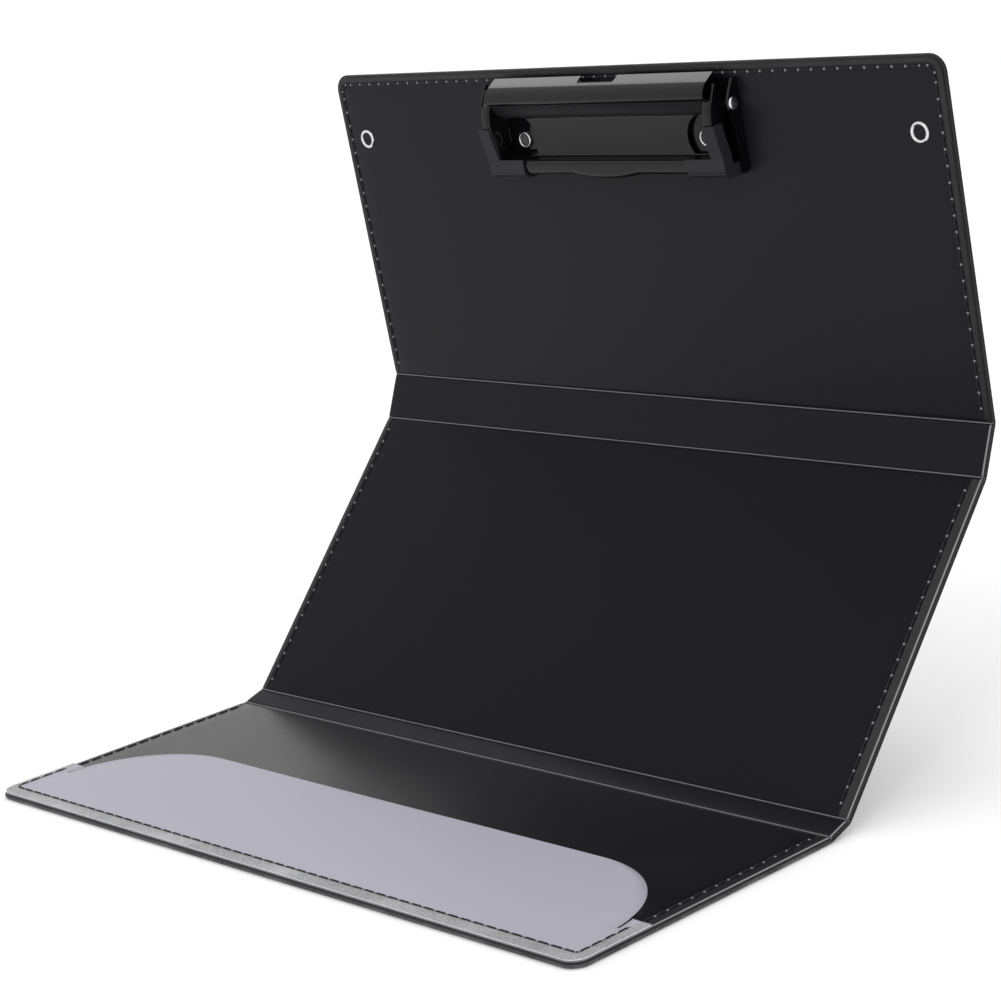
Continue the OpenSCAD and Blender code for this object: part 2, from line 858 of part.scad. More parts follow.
// The middle of the jaw bows out to the front.
module jaw_bow() {
  intersection() {
    translate([0, jaw_y + bow_depth - bow_r, 0]) rotate_extrude($fn = 240) {
      translate([bow_r - jaw_y, 0]) {
        sheet_section(concat([bead_path[0] - [bead_shoulder, 0]], bead_path));
      }
    }
    translate([-bow_half_w, floor_front, 0]) {
      cube([2 * bow_half_w, base_front, roll_height]);
    }
  }
}

// The side bead's inner wall, which stands on the floor.
module bead_inner_wall() {
  under = moved(lever_path, sheet_t);
  first = len(roll_path);
  last = len(concat(roll_path, [groove_foot], cover_path, floor_path)) - 1;
  polygon(concat(side_path, [for (i = [last:-1:first]) under[i]]));
}

// The cheek at each end of the lever hangs on the hinge pin and runs on to the
// jaw.
module cheek_profile() {
  low = pin_height - pin_r - sheet_t / 2;
  high = bead_height - grip_depth;
  last = len(bead_path) - 1;
  difference() {
    polygon(concat(
      [roll_path[2] - [0, 2 * sheet_t], roll_path[4] - [0, 2 * sheet_t]],
      side_path,
      bead_path,
      [
        bead_path[last] - [2 * sheet_t, 0],
        [jaw_y - grip_depth, high],
        [grip_rear + grip_depth, high],
        [pin_from_edge + 2 * pin_r, low],
        [pin_from_edge - 2 * pin_r, low]
      ]
    ));
    translate([pin_from_edge, pin_height]) circle(pin_r + pin_run_gap);
  }
}

module clip_lever() {
  color(steel_black) on_free_edge() {
    intersection() {
      along_folds(lever_w) sheet_section(lever_path);
      translate([0, 0, jaw_z]) linear_extrude(roll_height) lever_outline();
    }
    jaw_bow();
    for (side = [-1, 1]) {
      translate([side * (lever_w - bead_w) / 2, 0, 0]) {
        along_folds(bead_w) sheet_section(side_path);
      }
      translate([side * (lever_w / 2 - bead_w + sheet_t / 2), 0, 0]) {
        along_folds(sheet_t) bead_inner_wall();
      }
      translate([side * (lever_w - sheet_t) / 2, 0, 0]) {
        along_folds(sheet_t) cheek_profile();
      }
    }
  }
}

// ---- Corner grips --------------------------------------------------------

// A moulded grip, drawn for the end at +X: an L over the corner of the beads
// with a wall down the outside of the cheek.
module corner_grip() {
  wall_x = lever_w / 2 + grip_gap;
  outer_x = wall_x + grip_wall;
  leg_x = lever_w / 2 - bead_w - grip_overhang;
  foot_x = outer_x - grip_foot_len;
  foot_y = floor_front - grip_overhang;
  last = len(rim_path) - 1;
  over_lever = moved(rim_path, -grip_gap);
  over_grip = moved(rim_path, -grip_gap - grip_t);
  intersection() {
    along_folds(2 * outer_x) {
      polygon(concat(over_lever, reversed(over_grip)));
    }
    linear_extrude(2 * roll_height) {
      translate([leg_x, grip_rear]) square([outer_x - leg_x, base_front]);
      translate([foot_x, foot_y]) square([grip_foot_len, base_front]);
    }
  }
  intersection() {
    translate([wall_x + grip_wall / 2, 0, 0]) along_folds(grip_wall) {
      polygon(concat(
        over_grip,
        [
          over_lever[last],
          over_lever[last] - [grip_depth, 0],
          [jaw_y - grip_depth, bead_height - grip_depth]
        ],
        [for (i = [len(side_path) - 1:-1:0]) side_path[i] - [0, grip_depth]]
      ));
    }
    translate([0, grip_rear, 0]) cube([outer_x, base_front, 2 * roll_height]);
  }
}

module left_grip() {
  color(rubber_black) on_free_edge() mirror([1, 0, 0]) corner_grip();
}

module right_grip() {
  color(rubber_black) on_free_edge() corner_grip();
}

lower_cover();
lower_board();
lower_lining();
pocket_film();
lower_spine_cover();
lower_spine_strip();
lower_spine_lining();
middle_cover();
middle_board();
middle_lining();
upper_spine_cover();
upper_spine_strip();
upper_spine_lining();
top_cover();
top_board();
top_lining();
eyelets();
elastic_band();
clip_base();
clip_rivets();
rivet_caps();
hinge_pin();
clip_spring();
clip_lever();
left_grip();
right_grip();
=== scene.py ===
"""A folding clipboard folio: three stiff panels joined by two spines, a sprung
paper clip on the top panel, a frosted film pocket sewn on the lower panel and a
flat elastic closing band behind the top panel."""

import json
import math

import bmesh
import bpy
from mathutils import Matrix, Vector


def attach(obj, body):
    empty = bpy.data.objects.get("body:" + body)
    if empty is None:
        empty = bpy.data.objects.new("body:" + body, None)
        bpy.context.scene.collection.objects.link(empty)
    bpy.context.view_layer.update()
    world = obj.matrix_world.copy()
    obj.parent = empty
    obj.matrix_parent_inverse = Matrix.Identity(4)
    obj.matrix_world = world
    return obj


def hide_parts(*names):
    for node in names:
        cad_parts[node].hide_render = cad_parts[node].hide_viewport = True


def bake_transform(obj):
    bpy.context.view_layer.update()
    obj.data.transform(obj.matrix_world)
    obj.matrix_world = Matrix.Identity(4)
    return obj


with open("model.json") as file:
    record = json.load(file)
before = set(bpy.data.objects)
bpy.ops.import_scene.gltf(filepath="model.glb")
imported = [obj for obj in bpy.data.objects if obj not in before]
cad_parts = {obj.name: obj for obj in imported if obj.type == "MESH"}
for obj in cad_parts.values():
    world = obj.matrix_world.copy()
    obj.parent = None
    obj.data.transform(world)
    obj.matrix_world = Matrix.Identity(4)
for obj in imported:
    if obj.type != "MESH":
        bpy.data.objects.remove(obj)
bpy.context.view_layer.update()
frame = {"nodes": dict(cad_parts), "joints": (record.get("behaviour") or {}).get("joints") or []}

# ---- Where the panels stand --------------------------------------------------
# The folio is one long cover with four creases. Each panel and spine is made
# flat, in millimetres, with its crease along X at y = 0 and its inner side at
# z = 0, and is then stood at the slope that it has in the half open folio.

MM = 0.001
CREASES = [Vector(joint["pos_m"]) for joint in frame["joints"][:4]]
FOLDS = [17.5, 30.75, 19.65, 28.25]
LOWER_LEN, LOWER_SPINE_LEN, MIDDLE_LEN, UPPER_SPINE_LEN, TOP_LEN = 93.5, 7.5, 100, 14.6, 99.8
PANEL_W = 240
CORNER_R = 5
LEATHER_T, BOARD_T, LINING_T = 0.6, 1.0, 0.4
PANEL_T = LEATHER_T + BOARD_T + LINING_T
CREASE_GAP = 0.3


def standing(crease, degrees):
    """Stands a flat piece on one of the creases, counted from the user's side."""
    return Matrix.Translation(CREASES[crease]) @ Matrix.Rotation(math.radians(degrees), 4, "X")


# name: (body, where it stands, its far end from its crease, corner radius)
PANELS = {
    "lower": ("lower_panel", standing(0, 0) @ Matrix.Rotation(math.pi, 4, "Z"), LOWER_LEN, CORNER_R),
    "lower_spine": ("lower_spine", standing(0, sum(FOLDS[:1])), LOWER_SPINE_LEN - CREASE_GAP, 0),
    "middle": ("middle_panel", standing(1, sum(FOLDS[:2])), MIDDLE_LEN - CREASE_GAP, 0),
    "upper_spine": ("upper_spine", standing(2, sum(FOLDS[:3])), UPPER_SPINE_LEN - CREASE_GAP, 0),
    "top": ("top_panel", standing(3, sum(FOLDS)), TOP_LEN, CORNER_R),
}


def make_piece(name, points, faces, place, materials, face_slots=None, sharp=40):
    """Makes a mesh from points in mm, and stands it where place says."""
    mesh = bpy.data.meshes.new(name)
    mesh.from_pydata([place @ (Vector(p) * MM) for p in points], [], faces)
    for material in materials:
        mesh.materials.append(material)
    if face_slots:
        mesh.polygons.foreach_set("material_index", face_slots)
    mesh.update()
    mesh.shade_smooth()
    mesh.set_sharp_from_angle(angle=math.radians(sharp))
    piece = bpy.data.objects.new(name, mesh)
    bpy.context.scene.collection.objects.link(piece)
    return piece


def fit(piece, body, slot, *nodes):
    """Says which body carries a piece and what it stands for. The slot is not used."""
    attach(piece, body)
    if nodes:
        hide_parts(*nodes)


# ---- Seams -------------------------------------------------------------------
# One lockstitch seam, 4.5 mm to the stitch, runs round the free edges of every
# panel. The needle leaves a row of holes, which the leather and the lining sink
# into, so the holes are laid out before either of them.

STITCH_PITCH = 4.5
SEAM_FROM_CREASE = 4
# name: distance of the seam from the -X end, from the +X end and from the far edge
SEAMS = {"lower": (4.1, 2.6, 4.9), "middle": (3.2, 4.4, None), "top": (2.8, 3.2, 3.0)}
# shares of a stitch at which the edge lines have a point, and how far the sheet
# sinks there, from 1 in a needle hole to 0 under the thread
SINK_STATIONS = [(0, 1), (0.09, 0.65), (0.2, 0.12), (0.5, 0), (0.8, 0.12), (0.91, 0.65)]


def evenly(start, end, pitch):
    count = max(1, round(abs(end - start) / pitch))
    return [start + (end - start) * k / count for k in range(count + 1)]


def seam_holes(panel):
    """Distances from the crease of the holes up each end, and places along X of the
    holes beside the far edge."""
    far = PANELS[panel][2]
    from_left, from_right, from_far = SEAMS[panel]
    up = evenly(SEAM_FROM_CREASE, far - (from_far or SEAM_FROM_CREASE), STITCH_PITCH)
    if not from_far:
        return up, []
    return up, evenly(PANEL_W / 2 - from_right, -PANEL_W / 2 + from_left, STITCH_PITCH)


def seam_stations(holes):
    """Places along a row of holes, each with how far the sheet sinks there."""
    places = []
    for a, b in zip(holes, holes[1:]):
        places += [(a + (b - a) * share, sink) for share, sink in SINK_STATIONS]
    return places + [(holes[-1], 1)]


# ---- Outer leather -----------------------------------------------------------
# The cover is black imitation leather with a fine pebble grain. It is drawn round
# the edges of each board and turned in under the lining, so its edges are round,
# stretched a little paler, and the grain is drawn flat there. The lower panel's
# edge is painted far paler still, as a painted reflection of the bright floor.


def new_group(name, inputs, outputs):
    """An empty shader group with named sockets."""
    group = bpy.data.node_groups.new(name, "ShaderNodeTree")
    for socket, kind, value in inputs:
        made = group.interface.new_socket(socket, in_out="INPUT", socket_type=kind)
        made.default_value = value
    for socket, kind in outputs:
        group.interface.new_socket(socket, in_out="OUTPUT", socket_type=kind)
    given, out = group.nodes.new("NodeGroupInput"), group.nodes.new("NodeGroupOutput")
    return group, group.nodes, group.links, given, out


def math_node(nodes, links, operation, first, second):
    """Works on two values, each a number or the socket that gives it."""
    node = nodes.new("ShaderNodeMath")
    node.operation = operation
    for socket, value in zip(node.inputs, (first, second)):
        if isinstance(value, (int, float)):
            socket.default_value = value
        else:
            links.new(value, socket)
    return node.outputs[0]


def noise(nodes, links, where, per_metre, detail=3.0, roughness=0.5):
    node = nodes.new("ShaderNodeTexNoise")
    node.inputs["Detail"].default_value = detail
    node.inputs["Roughness"].default_value = roughness
    links.new(where, node.inputs["Vector"])
    if isinstance(per_metre, (int, float)):
        node.inputs["Scale"].default_value = per_metre
    else:
        links.new(per_metre, node.inputs["Scale"])
    return node.outputs["Fac"]


def spread(nodes, links, value, low, high, to_low=0.0, to_high=1.0):
    """Stretches the part of a value between low and high."""
    node = nodes.new("ShaderNodeMapRange")
    for socket, number in zip(("From Min", "From Max", "To Min", "To Max"), (low, high, to_low, to_high)):
        node.inputs[socket].default_value = number
    links.new(value, node.inputs["Value"])
    return node.outputs["Result"]


def pebble_grain_group():
    """Pebbles of leather grain with fine creases between them, and patches where
    the skin is drawn tighter."""
    group, nodes, links, given, out = new_group(
        "pebble grain",
        [("Pebble size mm", "NodeSocketFloat", 0.8), ("Unevenness", "NodeSocketFloat", 0.5)],
        [("Height", "NodeSocketFloat"), ("Wear", "NodeSocketFloat"), ("Tops", "NodeSocketFloat")],
    )
    where = nodes.new("ShaderNodeTexCoord").outputs["Object"]
    per_metre = math_node(nodes, links, "DIVIDE", 1000, given.outputs["Pebble size mm"])
    # the cells are bent a little, so that no row of them is straight
    bend = nodes.new("ShaderNodeTexNoise")
    bend.inputs["Scale"].default_value = 500
    links.new(where, bend.inputs["Vector"])
    shift = nodes.new("ShaderNodeVectorMath")
    shift.operation = "MULTIPLY_ADD"
    shift.inputs[1].default_value = (0.0006, 0.0006, 0.0006)
    links.new(bend.outputs["Color"], shift.inputs[0])
    links.new(where, shift.inputs[2])
    pebbles = nodes.new("ShaderNodeTexVoronoi")
    pebbles.feature = "SMOOTH_F1"
    pebbles.inputs["Smoothness"].default_value = 0.45
    links.new(shift.outputs[0], pebbles.inputs["Vector"])
    links.new(per_metre, pebbles.inputs["Scale"])
    domes = math_node(nodes, links, "SUBTRACT", 1, pebbles.outputs["Distance"])
    swells = noise(nodes, links, where, 90, 4)
    swell = math_node(nodes, links, "MULTIPLY", swells, given.outputs["Unevenness"])
    links.new(math_node(nodes, links, "ADD", domes, swell), out.inputs["Height"])
    links.new(spread(nodes, links, swells, 0.35, 0.7), out.inputs["Wear"])
    links.new(spread(nodes, links, pebbles.outputs["Distance"], 0.5, 0.2), out.inputs["Tops"])
    return group


PEBBLE_GRAIN = pebble_grain_group()


def new_material(name, roughness, specular, metallic=0.0):
    """A plain surface, whose finish is then wired to it."""
    material = bpy.data.materials.new(name)
    material.use_nodes = True
    surface = material.node_tree.nodes["Principled BSDF"]
    surface.inputs["Roughness"].default_value = roughness
    surface.inputs["Specular IOR Level"].default_value = specular
    surface.inputs["Metallic"].default_value = metallic
    return material, material.node_tree.nodes, material.node_tree.links, surface


def object_place(nodes):
    return nodes.new("ShaderNodeTexCoord").outputs["Object"]


def add_bump(nodes, links, surface, height, depth_mm):
    """Feeds a height from 0 to 1 into the normal of a surface."""
    bump = nodes.new("ShaderNodeBump")
    bump.inputs["Distance"].default_value = depth_mm * MM
    bump.inputs["Strength"].default_value = 1
    links.new(height, bump.inputs["Height"])
    links.new(bump.outputs["Normal"], surface.inputs["Normal"])


def two_tones(nodes, links, surface, share, low, high):
    """Colours a surface between two tones."""
    tones = nodes.new("ShaderNodeMix")
    tones.data_type = "RGBA"
    tones.inputs["A"].default_value = (*low, 1)
    tones.inputs["B"].default_value = (*high, 1)
    links.new(share, tones.inputs["Factor"])
    links.new(tones.outputs["Result"], surface.inputs["Base Color"])


def put_group(nodes, group, **values):
    """Places a shared effect in a material, with its own values."""
    node = nodes.new("ShaderNodeGroup")
    node.node_tree = group
    for name, value in values.items():
        node.inputs[name.replace("_", " ")].default_value = value
    return node.outputs


def leather_finish(name, pebble_mm, depth_mm, low, high, roughness, specular):
    """Leather, paler where it is worn and on the tops of its pebbles."""
    material, nodes, links, surface = new_material(name, roughness, specular)
    grain = put_group(nodes, PEBBLE_GRAIN, Pebble_size_mm=pebble_mm)
    pale = math_node(nodes, links, "ADD", grain["Wear"], grain["Tops"])
    two_tones(nodes, links, surface, spread(nodes, links, pale, 0, 2), low, high)
    links.new(spread(nodes, links, grain["Wear"], 0, 1, roughness + 0.06, roughness - 0.06),
              surface.inputs["Roughness"])
    add_bump(nodes, links, surface, grain["Height"], depth_mm)
    return material


outer_leather = leather_finish(
    "outer leather", 0.8, 0.11, (0.008, 0.008, 0.0085), (0.014, 0.014, 0.015), 0.42, 0.35
)
turned_leather = leather_finish(
    "turned leather edge", 0.6, 0.1, (0.004, 0.004, 0.0045), (0.02, 0.02, 0.021), 0.55, 0.12
)
# the edge of the lower panel is painted palest, as a painted reflection of the bright floor before it
painted_reflection_edge = leather_finish(
    "painted reflection leather edge", 0.55, 0.14, (0.025, 0.025, 0.028), (0.17, 0.17, 0.176), 0.5, 0.3
)

# how the sheet dips to the seam: (distance from the holes, depth all along, depth in a hole)
SEAM_DIP = [(0.9, 0, 0), (0.4, 0.04, 0.06), (0, 0.09, 0.16), (-0.4, 0.04, 0.06), (-0.9, 0, 0)]
OUTER_SEAM_DIP = [(1, 0, 0), (0.45, 0.16, 0.04), (0, 0.27, 0.14), (-0.45, 0.16, 0.04), (-1, 0, 0)]
# round the edge from the outer side to under the lining, (inset, z, material slot)
LEATHER_EDGE = [
    (1.3, -PANEL_T, 0), (0.8, -PANEL_T + 0.05, 0), (0.4, -PANEL_T + 0.19, 1),
    (0.12, -PANEL_T + 0.45, 1), (0, -PANEL_T + 0.78, 1), (0, -0.82, 0), (0.07, -0.66, 0),
    (0.22, -0.5, 0), (0.48, -0.42, 0), (0.9, -0.41, 0), (9, -0.42, 0),
]


def squeezed(at, bend, end, new_end):
    """Draws the last stretch of a line in or out, so that end comes to new_end."""
    bend = min(bend, new_end - 2)
    return at if at <= bend else bend + (at - bend) * (new_end - bend) / (end - bend)


def edge_line(panel, from_left, from_right, from_far, crease_rows):
    """The line that runs round a panel at a set distance from each edge, from its
    crease up the +X end, along the far edge and down the other end: [x, y, dip,
    sink], with the dip beside a crease and how near a needle hole is. A spine has
    two creases and no far edge, so its line runs along both ends."""
    _, _, far, corner_r = PANELS[panel]
    up_holes, far_holes = seam_holes(panel) if panel in SEAMS else ([], [])
    sides, corners = [], []
    for from_end in (from_right, from_left):
        x = PANEL_W / 2 - from_end
        line = [(x, CREASE_GAP + away, dip, 0) for away, dip in crease_rows]
        if corner_r:
            y = far - from_far
            r = max(corner_r - (from_end + from_far) / 2, 0.15)
            for at, sink in seam_stations(up_holes):
                line.append((x, squeezed(at, far - corner_r - 1, up_holes[-1], y - r), 0, sink))
            for k, (_, sink) in enumerate(SINK_STATIONS[1:] + [(1, 1)]):
                turn = math.pi / 2 * (k + 1) / len(SINK_STATIONS)
                line.append((x - r + r * math.cos(turn), y - r + r * math.sin(turn), 0, sink))
            corners.append(x - r)
        else:
            line += [(x, at, 0, sink) for at, sink in seam_stations(up_holes)] if up_holes else []
            line += [(x, far - away, dip, 0) for away, dip in reversed(crease_rows)]
        sides.append(line)
    across = []
    bend = PANEL_W / 2 - corner_r - 1
    for at, sink in seam_stations(far_holes)[1:-1] if far_holes else []:
        if at > 0:
            at = squeezed(at, bend, far_holes[0], corners[0])
        else:
            at = -squeezed(-at, bend, -far_holes[-1], corners[1])
        across.append((at, far - from_far, 0, sink))
    return sides[0] + across + [(-x, y, dip, sink) for x, y, dip, sink in reversed(sides[1])]


def seam_rings(panel, face_z, down):
    """The dip of a seam in a face at height face_z: down is -1 on the inner side of
    a panel and 1 on its outer side, where the thread lies deeper."""
    if panel not in SEAMS:
        return []
    left, right, far = SEAMS[panel]
    return [
        (left + away, right + away, (far or 0) + away, face_z + down * depth, down * hole_depth, 0)
        for away, depth, hole_depth in (SEAM_DIP if down < 0 else OUTER_SEAM_DIP)
    ]


def even_rings(profile):
    """Rings at the same distance from every edge."""
    return [(inset, inset, inset, z, 0, slot) for inset, z, slot in profile]


def layered_sheet(panel, rings, crease_rows):
    """A closed sheet of one panel from rings of (distances from the edges, z, depth
    of a needle hole, slot of the band up to the next ring). The rings run from the
    middle of one side, round the edge, to the middle of the other side."""
    corner_r = PANELS[panel][3]
    points = []
    for from_left, from_right, from_far, z, hole_depth, _ in rings:
        for x, y, dip, sink in edge_line(panel, from_left, from_right, from_far, crease_rows):
            points.append((x, y, z + dip * (z > -LINING_T) + sink * hole_depth))
    size = len(points) // len(rings)
    half, rows, last = size // 2, len(crease_rows), len(rings) - 1
    at = lambda ring, k: ring * size + k
    faces, slots = [], []
    for ring in range(last):
        for k in range(size - 1):
            if corner_r or k != half - 1:
                faces.append((at(ring, k), at(ring, k + 1), at(ring + 1, k + 1), at(ring + 1, k)))
                slots.append(rings[ring][5])
    for ring, flip in ((0, True), (last, False)):
        middle = []
        strips = list(range(rows - 1))
        inner = list(range(rows - 1, size - rows + 1))
        if not corner_r:
            strips += range(half - rows, half - 1)
            inner = list(range(rows - 1, half - rows + 1)) + list(range(half + rows - 1, size - rows + 1))
        for k in strips:
            middle.append((at(ring, k), at(ring, k + 1), at(ring, size - 2 - k), at(ring, size - 1 - k)))
        middle.append(tuple(at(ring, k) for k in inner))
        faces += [tuple(reversed(f)) for f in middle] if flip else middle
        slots += [0] * len(middle)
    for k in (0,) if corner_r else (0, half - 1):
        right = [at(ring, k) for ring in range(len(rings))]
        left = [at(ring, size - 1 - k) for ring in reversed(range(len(rings)))]
        faces.append(tuple(right + left) if k == 0 else tuple(reversed(right + left)))
        slots.append(0)
    return points, faces, slots


# the board lies in the tray of leather, whose inner faces end the list of rings
TRAY_FLOOR_Z = -PANEL_T + LEATHER_T
TRAY_WALL = [(0.83, -0.44, 0), (0.83, TRAY_FLOOR_Z, 0), (9, TRAY_FLOOR_Z, 0)]

for panel, (body, place, _, _) in PANELS.items():
    rings = even_rings([(9, -PANEL_T, 0)]) + seam_rings(panel, -PANEL_T, 1)
    rings += even_rings(LEATHER_EDGE[:-1] + TRAY_WALL)
    points, faces, slots = layered_sheet(panel, rings, [(0, 0)])
    edge = painted_reflection_edge if panel == "lower" else turned_leather
    leather = make_piece(f"{panel}_leather", points, faces, place, [outer_leather, edge], slots)
    fit(leather, body, "outer_leather", f"{panel}_cover")

# ---- Boards ------------------------------------------------------------------
# Pressed grey board, cut a little smaller than the leather and sealed between
# the leather and the lining. Narrow strips of it stiffen the two spines.


def pressed_board_finish():
    material, nodes, links, surface = new_material("pressed board", 0.85, 0.2)
    fibres = noise(nodes, links, object_place(nodes), 700, 6)
    two_tones(nodes, links, surface, fibres, (0.16, 0.15, 0.125), (0.3, 0.28, 0.24))
    add_bump(nodes, links, surface, fibres, 0.1)
    return material


def finish_node(node, material):
    """Gives a CAD piece its finish."""
    piece = frame["nodes"][node]
    piece.data.materials.clear()
    piece.data.materials.append(material)
    return piece


pressed_board = pressed_board_finish()
for node in ("lower_board", "middle_board", "top_board", "lower_spine_strip", "upper_spine_strip"):
    finish_node(node, pressed_board)

# ---- Lining ------------------------------------------------------------------
# A smooth satin sheet glued over the board and the turned leather. Its cut edge
# catches the light just inside the edge of the panel, and the strip between the
# edge and the seam is pressed with a fine grain.

LINING_INSET = 0.5
LINING_EDGE = [
    (9, -LINING_T + 0.01, 0), (LINING_INSET + 0.02, -LINING_T + 0.01, 0), (LINING_INSET, -0.3, 2),
    (LINING_INSET, -0.16, 2), (LINING_INSET + 0.05, -0.06, 2), (LINING_INSET + 0.17, -0.01, 2),
    (LINING_INSET + 0.34, 0, 1),
]
# the lining is pressed down where it runs into a crease
LINING_CREASE_ROWS = [(0, -0.22), (0.25, -0.1), (0.6, -0.03), (1.1, 0)]


def cloudy_sheet_group():
    """Faint clouds over a calendered sheet, and its very fine tooth."""
    group, nodes, links, given, out = new_group(
        "cloudy sheet",
        [("Clouds per metre", "NodeSocketFloat", 14.0), ("Tooth per metre", "NodeSocketFloat", 1400.0)],
        [("Clouds", "NodeSocketFloat"), ("Tooth", "NodeSocketFloat")],
    )
    where = object_place(nodes)
    for part in ("Clouds", "Tooth"):
        links.new(noise(nodes, links, where, given.outputs[f"{part} per metre"]), out.inputs[part])
    return group


CLOUDY_SHEET = cloudy_sheet_group()


def cloudy_finish(name, roughness, specular, low, high, per_metre, fine_per_metre, depth_mm):
    """A calendered sheet, whose colour and gloss follow its clouds."""
    material, nodes, links, surface = new_material(name, roughness, specular)
    sheet = put_group(nodes, CLOUDY_SHEET, Clouds_per_metre=per_metre, Tooth_per_metre=fine_per_metre)
    two_tones(nodes, links, surface, sheet["Clouds"], low, high)
    links.new(spread(nodes, links, sheet["Clouds"], 0.3, 0.7, roughness - 0.05, roughness + 0.05),
              surface.inputs["Roughness"])
    add_bump(nodes, links, surface, sheet["Tooth"], depth_mm)
    return material


# each panel's lining is a copy of one satin whose gloss and darker tone are set to
# how the light falls on that panel, as painted light and shade; the lower one is
# the glossiest and the middle one the dullest: (roughness, specular, darker tone) of each
LINING_LIGHT_BY_PANEL = {
    "lower": (0.27, 0.29, 0.0062), "lower_spine": (0.4, 0.08, 0.007), "middle": (0.42, 0.06, 0.0078),
    "upper_spine": (0.4, 0.1, 0.008), "top": (0.36, 0.145, 0.0072),
}
grained_lining = leather_finish(
    "grained lining border", 0.9, 0.06, (0.012, 0.012, 0.013), (0.019, 0.019, 0.021), 0.4, 0.3
)
lining_cut = cloudy_finish(
    "lining cut edge", 0.4, 0.5, (0.2, 0.2, 0.21), (0.3, 0.3, 0.31), 400, 3000, 0.02
)
dark_cut = cloudy_finish(
    "dark lining cut edge", 0.5, 0.1, (0.008, 0.008, 0.009), (0.03, 0.03, 0.032), 400, 3000, 0.02
)

for panel, (body, place, _, _) in PANELS.items():
    rings = even_rings(LINING_EDGE) + seam_rings(panel, 0, -1)[::-1] + even_rings([(9, 0, 0)])
    if panel not in SEAMS:
        rings[len(LINING_EDGE) - 1] = (*rings[len(LINING_EDGE) - 1][:5], 0)
    points, faces, slots = layered_sheet(panel, rings, LINING_CREASE_ROWS)
    # the copy for this panel carries its painted light and shade
    rough, specular, dark = LINING_LIGHT_BY_PANEL[panel]
    satin = cloudy_finish(
        f"satin lining {panel}", rough, specular, (dark, dark, dark * 1.3),
        (dark * 1.4, dark * 1.4, dark * 1.8), 14, 1400, 0.03,
    )
    # the pale cut edge is a painted highlight; the top panel's cut edge keeps the dark tone
    cut = dark_cut if panel == "top" else lining_cut
    lining = make_piece(
        f"{panel}_lining_sheet", points, faces, place, [satin, grained_lining, cut], slots
    )
    fit(lining, body, "lining", f"{panel}_lining")

# ---- Creases -----------------------------------------------------------------
# At each crease the leather and the lining run on without a board between them.
# The leather rolls round the outside of the fold, and the lining is heat pressed
# into a fine line on the inside, which is painted pale grey as a painted highlight.

ROLL_LAP = 0.5
ROLL_STEPS = 10
PRESSED_LINE_R = 0.2
# the pale grey of the pressed line is a painted highlight
crease_highlight_paint = cloudy_finish(
    "pressed line painted highlight", 0.3, 0.5, (0.11, 0.11, 0.115), (0.17, 0.17, 0.175), 60, 2000, 0.02
)


def crease_section(slope_a, slope_b):
    """Cross-section of a rolled crease as (y, z) in mm from the crease: along the
    outside of the fold from panel a to panel b, and back along the inside, over
    the pressed line."""
    a, b = math.radians(slope_a), math.radians(slope_b)
    out_a, out_b = (Vector((math.sin(t), -math.cos(t))) for t in (a, b))
    from_a, to_b = -Vector((math.cos(a), math.sin(a))), Vector((math.cos(b), math.sin(b)))
    reach = CREASE_GAP + ROLL_LAP
    outer = [from_a * reach + out_a * (PANEL_T - 0.35), from_a * CREASE_GAP + out_a * (PANEL_T - 0.03)]
    for k in range(1, ROLL_STEPS):
        turn = a + (b - a) * k / ROLL_STEPS
        outer.append(Vector((math.sin(turn), -math.cos(turn))) * (PANEL_T - 0.01))
    outer += [to_b * CREASE_GAP + out_b * (PANEL_T - 0.03), to_b * reach + out_b * (PANEL_T - 0.35)]
    inner = [to_b * reach + out_b * 0.45, to_b * CREASE_GAP + out_b * 0.36]
    inner += [
        direction.normalized() * PRESSED_LINE_R
        for direction in (to_b + out_b * 0.4, to_b - out_b * 0.6, -out_a - out_b,
                          from_a - out_a * 0.6, from_a + out_a * 0.4)
    ]
    inner += [from_a * CREASE_GAP + out_a * 0.36, from_a * reach + out_a * 0.45]
    return outer, inner


def along_crease(section, half_w, line_slots):
    """Runs a closed cross-section along a crease, with rounded ends."""
    ends = [(-half_w, 0.62), (-half_w + 0.12, 0.42), (-half_w + 0.4, 0.19), (-half_w + 0.8, 0.05),
            (-half_w + 1.3, 0)]
    xs = ends + [(-x, sunk) for x, sunk in reversed(ends)]
    middle = sum(section, Vector((0, 0))) / len(section)
    points = []
    for x, sunk in xs:
        for p in section:
            q = p + (middle - p).normalized() * sunk
            points.append((x, q[0], q[1]))
    n = len(section)
    faces = [tuple(reversed(range(n))), tuple((len(xs) - 1) * n + k for k in range(n))]
    slots = [0, 0]
    for i in range(len(xs) - 1):
        for k in range(n):
            faces.append((i * n + k, i * n + (k + 1) % n, (i + 1) * n + (k + 1) % n, (i + 1) * n + k))
            slots.append(1 if k in line_slots else 0)
    return points, faces, slots


for k, crease_name in enumerate(["lower_outer", "lower_inner", "upper_inner", "upper_outer"]):
    slopes = sum(FOLDS[:k]), sum(FOLDS[: k + 1])
    outer, inner = crease_section(*slopes)
    line_slots = range(len(outer) + 2, len(outer) + 6)
    points, faces, slots = along_crease(outer + inner, PANEL_W / 2 - 0.05, line_slots)
    roll = make_piece(
        f"{crease_name}_crease_roll", points, faces, Matrix.Translation(CREASES[k]),
        [outer_leather, crease_highlight_paint], slots, sharp=70,
    )
    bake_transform(roll)

# ---- Seam thread -------------------------------------------------------------
# The seam is sewn from the outer side with waxed black thread of two twisted
# plies. The pale needle thread is pulled up through each hole, so that it shows
# as a row of dots on the inner side, with short black stitches between them.

THREAD_R = 0.2
INNER_THREAD_R = 0.3
